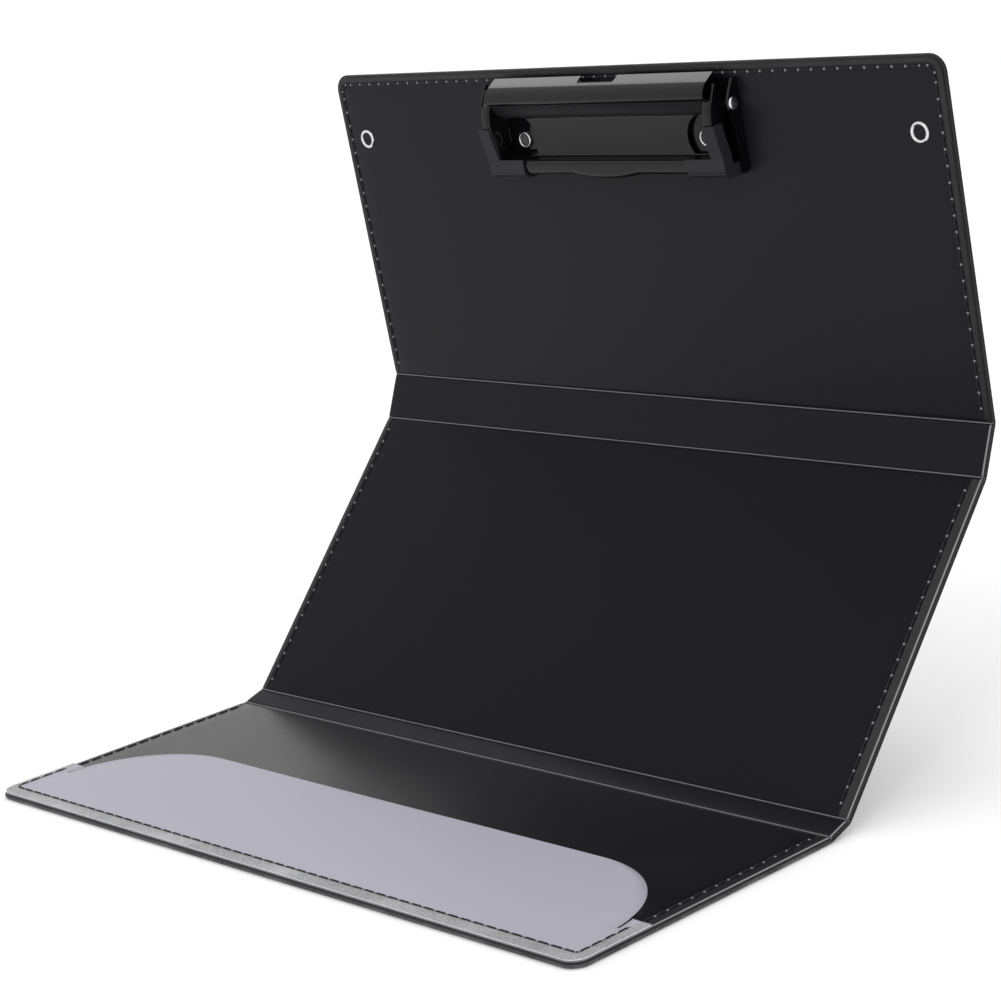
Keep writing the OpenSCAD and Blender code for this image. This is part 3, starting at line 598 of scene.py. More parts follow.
# along a stitch, (share of its length, height over the sheet)
STITCH_ARCH = [
    (0.07, -0.2), (0.13, -0.02), (0.24, 0.08), (0.37, 0.12), (0.5, 0.13), (0.63, 0.12), (0.76, 0.08),
    (0.87, -0.02), (0.93, -0.2),
]
OUTER_STITCH_SINK = 0.34
# height of the thread over the film, and how far back the film is sewn up the ends
FILM_SEAM_Z, FILM_SEAM_LEN = 0.36, 26.5


def thread_fibre_group():
    """The fibres of a spun thread."""
    group, nodes, links, given, out = new_group(
        "thread fibres", [("Fibres per metre", "NodeSocketFloat", 2500.0)], [("Fibres", "NodeSocketFloat")]
    )
    fibres = noise(nodes, links, object_place(nodes), given.outputs["Fibres per metre"], 4)
    links.new(fibres, out.inputs["Fibres"])
    return group


THREAD_FIBRES = thread_fibre_group()


def thread_finish(name, low, high, roughness):
    material, nodes, links, surface = new_material(name, roughness, 0.3)
    fibres = put_group(nodes, THREAD_FIBRES)["Fibres"]
    two_tones(nodes, links, surface, fibres, low, high)
    add_bump(nodes, links, surface, fibres, 0.05)
    return material


black_thread = thread_finish("black thread", (0.009, 0.009, 0.01), (0.022, 0.022, 0.024), 0.5)
pale_thread = thread_finish("pale needle thread", (0.17, 0.17, 0.18), (0.32, 0.32, 0.34), 0.6)


def tube_faces(rings, sides, first=0):
    """Faces of a closed tube of rings of points: its wall, and then its two ends."""
    faces = []
    for i in range(rings - 1):
        for k in range(sides):
            a, b = first + i * sides + k, first + i * sides + (k + 1) % sides
            faces.append((a, b, b + sides, a + sides))
    last = first + (rings - 1) * sides
    return faces + [tuple(reversed(range(first, first + sides))), tuple(range(last, last + sides))]


def add_strand(points, faces, path, radius, sides=6, flat=0.72, twist=0.9, about=Vector((0, 0, 1))):
    """Adds a twisted strand along a path to a mesh. Its section is an ellipse that
    turns as it runs, and no stretch of the path runs along the axis about."""
    first = len(points)
    for i, p in enumerate(path):
        run = (path[min(i + 1, len(path) - 1)] - path[max(i - 1, 0)]).normalized()
        side = run.cross(about).normalized()
        up = side.cross(run)
        for k in range(sides):
            turn = 2 * math.pi * k / sides
            across, high = radius * math.cos(turn), radius * flat * math.sin(turn)
            lay = twist * i
            points.append(p + side * (across * math.cos(lay) - high * math.sin(lay))
                          + up * (across * math.sin(lay) + high * math.cos(lay)))
    faces.extend(tube_faces(len(path), sides, first))


def add_loop(points, faces, centre, radius, height):
    """Adds the small pale loop of needle thread that fills a hole, like a bead."""
    first, sides = len(points), 8
    rings = [(radius * 0.7, -height), (radius, -height * 0.2), (radius * 0.8, height * 0.6),
             (radius * 0.35, height)]
    for r, z in rings:
        for k in range(sides):
            turn = 2 * math.pi * k / sides
            points.append(centre + Vector((r * math.cos(turn), r * math.sin(turn), z)))
    faces.extend(tube_faces(len(rings), sides, first))


def seam_rows(panel):
    """The needle holes of a panel as rows of (x, y)."""
    left, right, far = SEAMS[panel]
    holes = [(x, y) for x, y, _, sink in edge_line(panel, left, right, far or 0, []) if sink == 1]
    half = len(holes) // 2
    return [holes] if PANELS[panel][3] else [holes[:half], holes[half:]]


def on_film(panel, y):
    """Whether the seam passes over the film, which lies on the front of the lower panel."""
    return panel == "lower" and y > LOWER_LEN - FILM_SEAM_LEN


for panel in SEAMS:
    body, place = PANELS[panel][:2]
    rows = seam_rows(panel)
    inner, outer, loops = ([], []), ([], []), ([], [])
    for row in rows:
        for x, y in row:
            z = FILM_SEAM_Z - 0.02 if on_film(panel, y) else -0.1
            add_loop(*loops, Vector((x, y, z)), 0.42, 0.2)
        for (xa, ya), (xb, yb) in zip(row, row[1:]):
            a, b = Vector((xa, ya, 0)), Vector((xb, yb, 0))
            lift = FILM_SEAM_Z if on_film(panel, min(ya, yb)) else -0.06
            path = [a.lerp(b, t) + Vector((0, 0, z + lift)) for t, z in STITCH_ARCH]
            add_strand(*inner, path, INNER_THREAD_R)
            low = -PANEL_T + OUTER_STITCH_SINK
            add_strand(*outer, [a.lerp(b, t) + Vector((0, 0, low - z)) for t, z in STITCH_ARCH], THREAD_R)
    if panel == "top":
        # one more row holds the wide spine's leather to the panel, beside the crease
        ends = evenly(PANEL_W / 2 - SEAMS["top"][1], -PANEL_W / 2 + SEAMS["top"][0], STITCH_PITCH)
        for xa, xb in zip(ends, ends[1:]):
            a, b = Vector((xa, SEAM_FROM_CREASE - 0.5, 0)), Vector((xb, SEAM_FROM_CREASE - 0.5, 0))
            path = [a.lerp(b, t) + Vector((0, 0, -PANEL_T - z * 0.7)) for t, z in STITCH_ARCH]
            add_strand(*outer, path, THREAD_R * 0.8)
    for name, mesh, material in (
        ("inner_stitches", inner, black_thread), ("outer_stitches", outer, black_thread),
        ("needle_thread", loops, pale_thread),
    ):
        fit(make_piece(f"{panel}_{name}", *mesh, place, [material], sharp=80), body, "elastic")

# ---- Pocket film -------------------------------------------------------------
# Frosted film with two large round corners, sewn down along the front and up two
# short strips at its ends. Its cut edges carry the light and show as fine bright
# lines, and it lies a little greyer outside the seam, where it is pressed down.

FILM_INSET, FILM_DEPTH, FILM_CORNER_R = 0.5, 52, 34
FILM_T = 0.26
STRIP_W, SLIT_W, SLIT_LEN = 6.2, 0.9, 6
FILM_FRONT = LOWER_LEN - FILM_INSET
FILM_UPPER = FILM_FRONT - FILM_DEPTH
FILM_HALF_W = PANEL_W / 2 - FILM_INSET
FILM_BODY_HALF_W = FILM_HALF_W - STRIP_W
STRIP_END = LOWER_LEN - FILM_SEAM_LEN
SLIT_END = STRIP_END + SLIT_LEN


def film_finish(name, low, high, roughness, specular):
    """Frosted film: an even milky colour with faint clouds and a soft sheen."""
    return cloudy_finish(name, roughness, specular, low, high, 9, 900, 0.02)


frosted_film = film_finish("frosted film", (0.44, 0.428, 0.5), (0.475, 0.463, 0.54), 0.45, 0.2)
film_edge = film_finish("film cut edge", (0.75, 0.75, 0.78), (0.9, 0.9, 0.93), 0.3, 0.5)
# the film takes the grain of what it is pressed on
film_border = leather_finish(
    "film outside the seam", 0.7, 0.1, (0.31, 0.31, 0.317), (0.58, 0.58, 0.59), 0.4, 0.35
)


def body_half_w(y):
    """Half the width of the film's body at a distance y from the crease."""
    rise = FILM_UPPER + FILM_CORNER_R - y
    straight = FILM_BODY_HALF_W - FILM_CORNER_R
    return FILM_BODY_HALF_W if rise <= 0 else straight + math.sqrt(max(FILM_CORNER_R**2 - rise**2, 0))


def strip_half_w(y):
    """The same out to the outer edge of the sewn strips, round at the front corners."""
    r = CORNER_R - FILM_INSET
    rise = y - (FILM_FRONT - r)
    return FILM_HALF_W if rise <= 0 else FILM_HALF_W - r + math.sqrt(max(r * r - rise * rise, 0))


def film_height(x, y):
    """Height of the film over the lining. It lies flat where it is sewn."""
    left, right, front = SEAMS["lower"]
    half_w = PANEL_W / 2 - (left if x < 0 else right)
    from_seam = min(LOWER_LEN - front - y, half_w - abs(x) if y > STRIP_END else 40)
    loose = min(max((from_seam - 0.4) / 7, 0), 1)
    loose = loose * loose * (3 - 2 * loose)
    swell = 0.03 * math.sin(x / 21 + 0.8) * math.sin(y / 9) + 0.03 * math.sin(x / 37 - y / 23)
    return FILM_SEAM_Z + loose * (0.16 + swell) - 0.06 * math.exp(-((from_seam / 0.6) ** 2))


def film_mesh():
    front_seam = LOWER_LEN - SEAMS["lower"][2]
    corner = [FILM_UPPER + FILM_CORNER_R * (1 - math.cos(math.pi / 2 * k / 26)) for k in range(27)]
    corner = [y for y in corner if min(abs(y - STRIP_END), abs(y - SLIT_END)) > 0.35]
    rows = sorted(set(corner + [STRIP_END, STRIP_END + 0.4, SLIT_END - 0.5, SLIT_END, 78, 81, 84, 86.5]
                      + [front_seam + d for d in (-0.6, 0, 0.6, 1.6)]
                      + [FILM_FRONT - 4.5 * (1 - math.sin(math.pi / 2 * k / 8)) for k in range(1, 9)]))
    columns = 48
    points, faces, slots, grid = [], [], [], []

    def put(x, y):
        points.append((x, y, film_height(x, y)))
        return len(points) - 1

    for y in rows:
        body_w = min(body_half_w(y), strip_half_w(y))
        body = [put(body_w * (2 * k / columns - 1), y) for k in range(columns + 1)]
        strips = {}
        for side, inset in ((-1, SEAMS["lower"][0]), (1, SEAMS["lower"][1])):
            if y >= STRIP_END:
                outer = strip_half_w(y)
                seam_x = min(PANEL_W / 2 - inset, outer - 0.4 * (outer - body_w))
                slit = SLIT_W if y < SLIT_END else 0
                xs = [seam_x - 0.8, seam_x, seam_x + 0.7, outer - 0.25, outer]
                xs = [max(x, body_w + slit + 0.02 * (k + 1)) for k, x in enumerate(xs)]
                inner = put(side * (body_w + slit), y) if slit else body[0 if side < 0 else -1]
                strips[side] = [inner] + [put(side * x, y) for x in xs]
        grid.append((y, body, strips))
    for (ya, body_a, strips_a), (yb, body_b, strips_b) in zip(grid, grid[1:]):
        lines = [(1, body_a, body_b)]
        lines += [(side, strips_a[side], strips_b[side]) for side in strips_a]
        for side, row_a, row_b in lines:
            for k in range(len(row_a) - 1):
                face = (row_a[k], row_a[k + 1], row_b[k + 1], row_b[k])
                outside = (ya + yb) / 2 > front_seam or (row_a is not body_a and k >= 2)
                faces.append(face if side > 0 else tuple(reversed(face)))
                slots.append(1 if outside else 0)
    return points, faces, slots


points, faces, slots = film_mesh()
film = make_piece(
    "frosted_film", points, faces, PANELS["lower"][1], [frosted_film, film_border, film_edge, film_edge],
    slots,
)
thickness = film.modifiers.new("film thickness", "SOLIDIFY")
thickness.thickness = FILM_T * MM
thickness.offset = -1
# the rim of each slot is a cut edge
thickness.material_offset_rim = 2
fit(film, "lower_panel", "film", "pocket_film")

# ---- Eyelets -----------------------------------------------------------------
# Two nickel plated brass eyelets near the free edge of the top panel. Each is
# pressed through the panel and rolled over, into a narrow round rim on the inner
# side and a wider one behind.

EYELET_X = PANEL_W / 2 - 10.4
EYELET_FROM_EDGE = 20.5
EYELET_HOLE_R, EYELET_WALL = 2, 0.35
INNER_ROLL_R, OUTER_ROLL_R = 0.5, 0.6


def at_spot(x, from_edge, height):
    """A place on the top panel: along the folds, from the free edge and over the lining."""
    return PANELS["top"][1] @ Matrix.Translation(Vector((x, TOP_LEN - from_edge, height)) * MM)


def arc(centre_r, centre_z, radius, start, end, steps=8):
    """Points (r, z) of an arc between two angles in degrees."""
    turns = [math.radians(start + (end - start) * k / steps) for k in range(steps + 1)]
    return [(centre_r + radius * math.cos(t), centre_z + radius * math.sin(t)) for t in turns]


def lathe(profile, steps=40, closed=True, slots=None):
    """Turns a profile of (r, z) round the Z axis. A profile that starts and ends on
    the axis is closed by its two middle points."""
    points, faces, face_slots = [], [], []
    for r, z in profile:
        for k in range(steps if r > 0 else 1):
            turn = 2 * math.pi * k / steps
            points.append((r * math.cos(turn), r * math.sin(turn), z))
    starts = [0]
    for r, _ in profile:
        starts.append(starts[-1] + (steps if r > 0 else 1))
    n = len(profile)
    for i in range(n if closed else n - 1):
        j = (i + 1) % n
        for k in range(steps):
            a = [starts[i] + (k + d) % steps for d in (0, 1)] if profile[i][0] > 0 else [starts[i]]
            b = [starts[j] + (k + d) % steps for d in (1, 0)] if profile[j][0] > 0 else [starts[j]]
            if len(a) + len(b) > 2:
                faces.append(tuple(a + b))
                face_slots.append(slots[i] if slots else 0)
    return points, faces, face_slots


def join_copies(meshes):
    """Joins meshes given as (points, faces, slots, place) into one."""
    points, faces, slots = [], [], []
    for part_points, part_faces, part_slots, place in meshes:
        first = len(points)
        points += [(place @ (Vector(p) * MM)) / MM for p in part_points]
        faces += [tuple(first + k for k in face) for face in part_faces]
        slots += part_slots
    return points, faces, slots


def on_both_sides(mesh, x):
    """A mesh set at x and at -x, for join_copies."""
    return [(*mesh, Matrix.Translation((side * x * MM, 0, 0))) for side in (-1, 1)]


def face_outward(piece):
    """Turns every face of a closed piece to the outside."""
    shape = bmesh.new()
    shape.from_mesh(piece.data)
    bmesh.ops.recalc_face_normals(shape, faces=shape.faces)
    shape.to_mesh(piece.data)
    shape.free()
    return piece


def rub_mark_group():
    """Rub marks and the faint waves of a pressed or plated face."""
    group, nodes, links, given, out = new_group(
        "rub marks",
        [("Marks per metre", "NodeSocketFloat", 350.0), ("Waves per metre", "NodeSocketFloat", 260.0)],
        [("Marks", "NodeSocketFloat"), ("Waves", "NodeSocketFloat")],
    )
    where = object_place(nodes)
    links.new(noise(nodes, links, where, given.outputs["Marks per metre"], 5, 0.65), out.inputs["Marks"])
    links.new(noise(nodes, links, where, given.outputs["Waves per metre"], 2), out.inputs["Waves"])
    return group


RUB_MARKS = rub_mark_group()


def metal_finish(name, colour, roughness, metallic, specular=0.5, scratches=0.4, coat=0.0):
    """Metal or lacquer with faint rub marks in its gloss."""
    material, nodes, links, surface = new_material(name, roughness, specular, metallic)
    surface.inputs["Base Color"].default_value = (*colour, 1)
    rubbed = put_group(nodes, RUB_MARKS)
    links.new(spread(nodes, links, rubbed["Marks"], 0.3, 0.75, roughness * (1 - scratches),
                     roughness * (1 + scratches)), surface.inputs["Roughness"])
    add_bump(nodes, links, surface, rubbed["Waves"], 0.012)
    if coat:
        surface.inputs["Coat Weight"].default_value = coat
        surface.inputs["Coat Roughness"].default_value = 0.04
    return material


nickel = metal_finish("nickel plate", (0.72, 0.72, 0.73), 0.2, 1.0)

eyelet_profile = [(EYELET_HOLE_R, -PANEL_T)]
eyelet_profile += arc(EYELET_HOLE_R + INNER_ROLL_R, 0, INNER_ROLL_R, 180, 0)
eyelet_profile += [(EYELET_HOLE_R + 2 * INNER_ROLL_R - 0.06, -0.06), (EYELET_HOLE_R + EYELET_WALL, -0.06)]
eyelet_profile += [(EYELET_HOLE_R + EYELET_WALL, -PANEL_T + 0.06)]
eyelet_profile += [(EYELET_HOLE_R + 2 * OUTER_ROLL_R - 0.06, -PANEL_T + 0.06)]
eyelet_profile += arc(EYELET_HOLE_R + OUTER_ROLL_R, -PANEL_T, OUTER_ROLL_R, 0, -174)
points, faces, slots = join_copies(on_both_sides(lathe(eyelet_profile), EYELET_X))
eyelets = make_piece("rolled_eyelets", points, faces, at_spot(0, EYELET_FROM_EDGE, 0), [nickel], slots)
fit(face_outward(eyelets), "top_panel", "bright_steel", "eyelets")

# ---- Closing band ------------------------------------------------------------
# Flat woven black elastic, which holds the folded folio shut. It runs behind the
# top panel over the two domed caps, and each end is folded small and pushed up
# into its eyelet, where its folds show.

BAND_W, BAND_T = 6.5, 0.96
BAND_RIB = 1.8
RIVET_X = 72.7 / 2
CAP_R, CAP_HEIGHT = 4, 1.7
BAND_SEAT = 0.1
BAND_END_R = 1.86


def woven_elastic_finish():
    material, nodes, links, surface = new_material("woven elastic", 0.75, 0.2)
    weave = nodes.new("ShaderNodeTexWave")
    weave.wave_type = "BANDS"
    weave.bands_direction = "DIAGONAL"
    weave.inputs["Scale"].default_value = 420
    weave.inputs["Distortion"].default_value = 1.5
    links.new(object_place(nodes), weave.inputs["Vector"])
    two_tones(nodes, links, surface, weave.outputs["Fac"], (0.006, 0.006, 0.0065), (0.022, 0.022, 0.023))
    add_bump(nodes, links, surface, weave.outputs["Fac"], 0.12)
    return material


woven_elastic = woven_elastic_finish()


def band_mesh():
    """The flat band: a rounded section with ribs across it, bent over the caps."""
    low = -PANEL_T - OUTER_ROLL_R - BAND_SEAT - BAND_T / 2 - 0.02
    high = -PANEL_T - CAP_HEIGHT - BAND_SEAT - BAND_T / 2 - 0.02
    tip = EYELET_X + EYELET_HOLE_R + EYELET_WALL + 2 * OUTER_ROLL_R - 0.05
    crest = RIVET_X + CAP_R
    section = [(-0.5, 0.18), (-0.46, 0.4), (-0.3, 0.5), (0, 0.5), (0.3, 0.5), (0.46, 0.4), (0.5, 0.18)]
    section += [(-y, -z) for y, z in section]
    count = int(2 * tip / (BAND_RIB / 4))
    points = []
    for i in range(count + 1):
        x = -tip + 2 * tip * i / count
        share = min(max((abs(x) - crest) / (EYELET_X - crest), 0), 1)
        share = share - math.sin(2 * math.pi * share) * 0.02
        middle = high + (low - high) * share
        rib = 1 - 0.07 * (1 - math.cos(2 * math.pi * x / BAND_RIB))
        end = max(1 - (tip - abs(x)) / 0.8, 0)
        for y, z in section:
            points.append((x, y * BAND_W * (1 - 0.1 * end * end) * (0.985 + 0.015 * rib),
                           middle + z * BAND_T * rib * (1 - 0.6 * end * end)))
    faces = tube_faces(count + 1, len(section))
    return points, faces, [0] * len(faces)


def folded_end():
    """The end of the band as it shows in an eyelet: a stub with three folds."""
    points, faces = [(0, 0, -0.55)], []
    steps, rings = 32, 10
    for i in range(1, rings + 1):
        r = BAND_END_R * i / rings
        for k in range(steps):
            turn = 2 * math.pi * k / steps
            x, y = r * math.cos(turn), r * math.sin(turn)
            fold = abs(math.sin(1.9 * (x + 0.35 * math.sin(1.4 * y) + 0.9)))
            points.append((x, y, -0.95 + 0.5 * math.sqrt(fold) - 0.4 * (i / rings) ** 6))
    for k in range(steps):
        points.append((BAND_END_R * math.cos(2 * math.pi * k / steps),
                       BAND_END_R * math.sin(2 * math.pi * k / steps), -PANEL_T - 1))
    faces += [(0, 1 + k, 1 + (k + 1) % steps) for k in range(steps)]
    for i in range(rings):
        for k in range(steps):
            a, b = 1 + i * steps + k, 1 + i * steps + (k + 1) % steps
            faces.append((a, a + steps, b + steps, b))
    faces.append(tuple(1 + rings * steps + k for k in reversed(range(steps))))
    return points, faces, [0] * len(faces)


ends = on_both_sides(folded_end(), EYELET_X)
points, faces, slots = join_copies([(*band_mesh(), Matrix.Identity(4))] + ends)
band = make_piece(
    "woven_band", points, faces, at_spot(0, EYELET_FROM_EDGE, 0), [woven_elastic], slots, sharp=60
)
fit(face_outward(band), "top_panel", "elastic", "elastic_band")

# ---- Clip base, rivets and caps ----------------------------------------------
# The clip stands on a base of black lacquered sheet steel, whose ends are bent up
# into ears for the hinge pin. Two hollow rivets hold it to the panel. Their heads
# are rolled bright rings, and behind the panel each is closed by a domed cap.

SHEET_T = 0.9
RIVET_FROM_EDGE = 21
RIVET_HEAD_R, RIVET_HEAD_T, RIVET_HOLLOW_R, RIVET_FLOOR_T = 2.45, 0.85, 1.85, 0.3
RIVET_R, RIVET_FLANGE_R, RIVET_FLANGE_T = 1.5, 2.98, 0.38
CAP_RIM_T = 0.45


def round_edges(piece, radius, angle=35, segments=3):
    """Rounds the edges of a piece where it bends by more than the angle."""
    flat = piece.modifiers.new("joined faces", "DECIMATE")
    flat.decimate_type = "DISSOLVE"
    flat.angle_limit = math.radians(1)
    edges = piece.modifiers.new("rounded edges", "BEVEL")
    edges.width = radius * MM
    edges.segments = segments
    edges.limit_method = "ANGLE"
    edges.angle_limit = math.radians(angle)
    edges.harden_normals = True
    return piece


black_lacquer = metal_finish("black lacquer", (0.003, 0.003, 0.0038), 0.08, 0.0, 0.22, 0.3, 0.05)
rivet_dimple = cloudy_finish(
    "rivet hollow", 0.6, 0.2, (0.004, 0.004, 0.005), (0.16, 0.16, 0.165), 2200, 2600, 0.1
)

base = finish_node("clip_base", black_lacquer)
round_edges(base, 0.18)

head_top = SHEET_T + RIVET_HEAD_T
rim_r = (RIVET_HEAD_R - RIVET_HOLLOW_R) / 2
rivet_profile = [(0, SHEET_T + RIVET_FLOOR_T + 0.05), (RIVET_HOLLOW_R * 0.6, SHEET_T + RIVET_FLOOR_T + 0.03)]
rivet_profile += [(RIVET_HOLLOW_R - 0.05, SHEET_T + RIVET_FLOOR_T)]
rivet_slots = [1, 1, 1]
rim = arc(RIVET_HOLLOW_R + rim_r, head_top - rim_r, rim_r, 180, 0) + [(RIVET_HEAD_R - 0.1, SHEET_T + 0.01)]
rivet_profile += rim + [(RIVET_R, SHEET_T + 0.01), (RIVET_R, -PANEL_T), (RIVET_FLANGE_R, -PANEL_T)]
rivet_profile += [(RIVET_FLANGE_R, -PANEL_T - RIVET_FLANGE_T), (0, -PANEL_T - RIVET_FLANGE_T)]
rivet_slots += [0] * (len(rivet_profile) - 3)
rivet_mesh = lathe(rivet_profile, closed=False, slots=rivet_slots)
points, faces, slots = join_copies(on_both_sides(rivet_mesh, RIVET_X))
rivets = make_piece(
    "hollow_rivets", points, faces, at_spot(0, RIVET_FROM_EDGE, 0), [nickel, rivet_dimple], slots
)
fit(face_outward(rivets), "top_panel", "bright_steel", "clip_rivets")

cap_profile = [(RIVET_FLANGE_R + 0.04, -RIVET_FLANGE_T - 0.02), (RIVET_FLANGE_R + 0.04, -0.02)]
cap_profile += [(CAP_R - 0.1, -0.02), (CAP_R, -0.12), (CAP_R, -0.3), (CAP_R - 0.12, -CAP_RIM_T)]
cap_slots = [0, 1, 1, 1, 1, 0]
dome_h = CAP_HEIGHT - CAP_RIM_T
for share in (0.93, 0.82, 0.68, 0.5, 0.32, 0.15, 0):
    cap_profile.append((CAP_R * share, -CAP_RIM_T - dome_h * math.sqrt(1 - share**2.2)))
    cap_slots.append(0)
cap_profile.append((0, -RIVET_FLANGE_T - 0.02))
cap_slots.append(0)
cap_mesh = lathe(cap_profile, slots=cap_slots)
points, faces, slots = join_copies(on_both_sides(cap_mesh, RIVET_X))
caps = make_piece(
    "domed_caps", points, faces, at_spot(0, RIVET_FROM_EDGE, -PANEL_T), [black_lacquer, nickel], slots
)
fit(face_outward(caps), "top_panel", "black_steel", "rivet_caps")

# ---- Hinge pin and spring ----------------------------------------------------
# A steel pin with domed heads runs through the ears and the lever. Two coils of
# spring wire on it push the thumb roll up and so press the jaw shut.

BASE_W = 99.2
PIN_FROM_EDGE, PIN_HEIGHT, PIN_R = 11, 2.85, 1
PIN_HEAD_R, PIN_HEAD_T = 1.9, 0.6
WIRE_R, COIL_GAP, TURN_GAP, COIL_TURNS, COIL_OFFSET = 0.35, 0.12, 0.12, 7.5, 10
BASE_REAR, ARM_SETBACK = 4.2, 1

spring_steel = metal_finish("spring steel", (0.42, 0.42, 0.43), 0.28, 1.0)

pin_profile = [(0, -BASE_W / 2 - PIN_HEAD_T)]
pin_profile += [(PIN_HEAD_R * math.sin(t), -BASE_W / 2 - PIN_HEAD_T * math.cos(t))
                for t in (math.pi / 2 * k / 6 for k in range(1, 7))]
pin_profile += [(PIN_R, -BASE_W / 2 + 0.01)]
pin_slots = [0] * (len(pin_profile) - 1) + [1] + [0] * len(pin_profile)
pin_profile += [(r, -z) for r, z in reversed(pin_profile)]
points, faces, slots = lathe(pin_profile, 28, closed=False, slots=pin_slots)
# the shaft is given the black lacquer, and the heads are left bright
pin = make_piece("domed_pin", points, faces,
                 at_spot(0, PIN_FROM_EDGE, PIN_HEIGHT) @ Matrix.Rotation(math.pi / 2, 4, "Y"),
                 [nickel, black_lacquer], slots)
fit(face_outward(pin), "top_panel", "bright_steel", "hinge_pin")

coil_r = PIN_R + COIL_GAP + WIRE_R
arm = PIN_FROM_EDGE - BASE_REAR - ARM_SETBACK
points, faces = [], []
for side in (-1, 1):
    pitch = (2 * WIRE_R + TURN_GAP) * side
    path = [Vector((0, arm, -coil_r)), Vector((0, arm * 0.5, -coil_r))]
    for i in range(int(COIL_TURNS * 18) + 1):
        turn = 2 * math.pi * i / 18
        path.append(Vector((pitch * turn / 2 / math.pi, coil_r * math.sin(turn), -coil_r * math.cos(turn))))
    end_x = pitch * COIL_TURNS
    path += [Vector((end_x, arm * 0.5, coil_r)), Vector((end_x, arm, coil_r * 0.95))]
    shifted = [p + Vector((side * COIL_OFFSET, 0, 0)) for p in path]
    add_strand(points, faces, shifted, WIRE_R, 8, 1, 0, Vector((1, 0, 0)))
spring = make_piece("wire_spring", points, faces, at_spot(0, PIN_FROM_EDGE, PIN_HEIGHT), [spring_steel])
fit(face_outward(spring), "top_panel", "bright_steel", "clip_spring")

# ---- Clip lever --------------------------------------------------------------
# The lever is pressed from one black lacquered sheet: a thumb roll, a sunk floor
# with a window over each rivet, a raised bead round its front and ends, and a jaw
# that bows out in its middle. Its ends turn down into cheeks that hang on the pin.

CHEEK_GAP = 3
LEVER_W = BASE_W - 2 * (SHEET_T + CHEEK_GAP)
BEAD_W, BEAD_R = 3.1, 0.7
ROLL_REAR, ROLL_FRONT, ROLL_EDGE_HEIGHT, ROLL_HEIGHT = 2.1, 8.9, 2.4, 8.3
FLOOR_HEIGHT, FLOOR_FRONT = 2.3, 25.8
BEAD_HEIGHT, BEAD_CREST, CREST_FROM_EDGE, BEAD_SHOULDER = 6.9, 9.1, 15.2, 1.4
JAW_FROM_EDGE, JAW_HEIGHT = 30.8, 1.2
NOTCH_W, NOTCH_DEPTH = 14.7, 1.5
WINDOW_R, WINDOW_OFFSET, WINDOW_FROM_EDGE = 6.9, 37, 20.6
BOW_DEPTH, BOW_R = 1.3, 60
# heights over the lining between which the windows and the notch are cut
WINDOW_CUT, NOTCH_CUT = (0, 4), (0, 9)
GRIP_DEPTH, GRIP_REAR = 3, 16
CHEEK_REAR = 4.9
COVER_GAP = 0.04
ROLL_SHAPE = [(0, 0), (0.27, 0.56), (0.42, 0.77), (0.6, 0.92), (0.8, 1), (0.93, 0.99), (1, 0.91)]

# outlines of the sheet as (distance from the free edge, height over the lining)
roll_depth, roll_rise = ROLL_FRONT - ROLL_REAR, ROLL_HEIGHT - ROLL_EDGE_HEIGHT
roll_line = [Vector((ROLL_REAR + s * roll_depth, ROLL_EDGE_HEIGHT + h * roll_rise)) for s, h in ROLL_SHAPE]
cover_r = PIN_R + COIL_GAP + 2 * WIRE_R + COVER_GAP + SHEET_T
cover_line = [
    Vector((PIN_FROM_EDGE + cover_r * math.cos(t), PIN_HEIGHT + cover_r * math.sin(t)))
    for t in (math.radians(turn) for turn in (62, 44, 26, 8))
]
floor_rear = PIN_FROM_EDGE + cover_r + SHEET_T * 0.4
floor_line = [Vector((floor_rear, FLOOR_HEIGHT)), Vector((FLOOR_FRONT, FLOOR_HEIGHT))]
# the front bead is drawn round, and crests a little above its nominal height
bead_crest = BEAD_HEIGHT + 0.18
bead_line = [
    Vector((FLOOR_FRONT + SHEET_T / 6, BEAD_HEIGHT - SHEET_T)),
    Vector((FLOOR_FRONT + SHEET_T / 2, BEAD_HEIGHT - 0.3)),
    Vector((FLOOR_FRONT + SHEET_T * 1.2, bead_crest - 0.08)),
    Vector((FLOOR_FRONT + SHEET_T * 2, bead_crest)),
    Vector((FLOOR_FRONT + SHEET_T * 2.8, bead_crest - 0.06)),
]
jaw_line = [
    Vector((JAW_FROM_EDGE - BEAD_SHOULDER - SHEET_T / 4, BEAD_HEIGHT - 0.02)),
    Vector((JAW_FROM_EDGE - BEAD_SHOULDER * 0.7, BEAD_HEIGHT - BEAD_SHOULDER * 0.25)),
    Vector((JAW_FROM_EDGE - BEAD_SHOULDER * 0.25, BEAD_HEIGHT - BEAD_SHOULDER * 0.9)),
    Vector((JAW_FROM_EDGE, JAW_HEIGHT)),
]
bead_fall = BEAD_CREST - BEAD_HEIGHT
side_line = [
    roll_line[-1] - Vector((0, SHEET_T / 2)),
    Vector(((ROLL_FRONT + CREST_FROM_EDGE) / 2 - SHEET_T, BEAD_CREST - SHEET_T * 0.6)),
    Vector((CREST_FROM_EDGE - 2 * SHEET_T, BEAD_CREST - SHEET_T * 0.15)),
    Vector((CREST_FROM_EDGE, BEAD_CREST)),
    Vector((CREST_FROM_EDGE + 2 * SHEET_T, BEAD_CREST - SHEET_T * 0.2)),
    Vector(((CREST_FROM_EDGE + FLOOR_FRONT) / 2, BEAD_CREST - 0.45 * bead_fall)),
    Vector((FLOOR_FRONT - SHEET_T, BEAD_CREST - 0.95 * bead_fall)),
    Vector((FLOOR_FRONT + SHEET_T, BEAD_HEIGHT)),
]


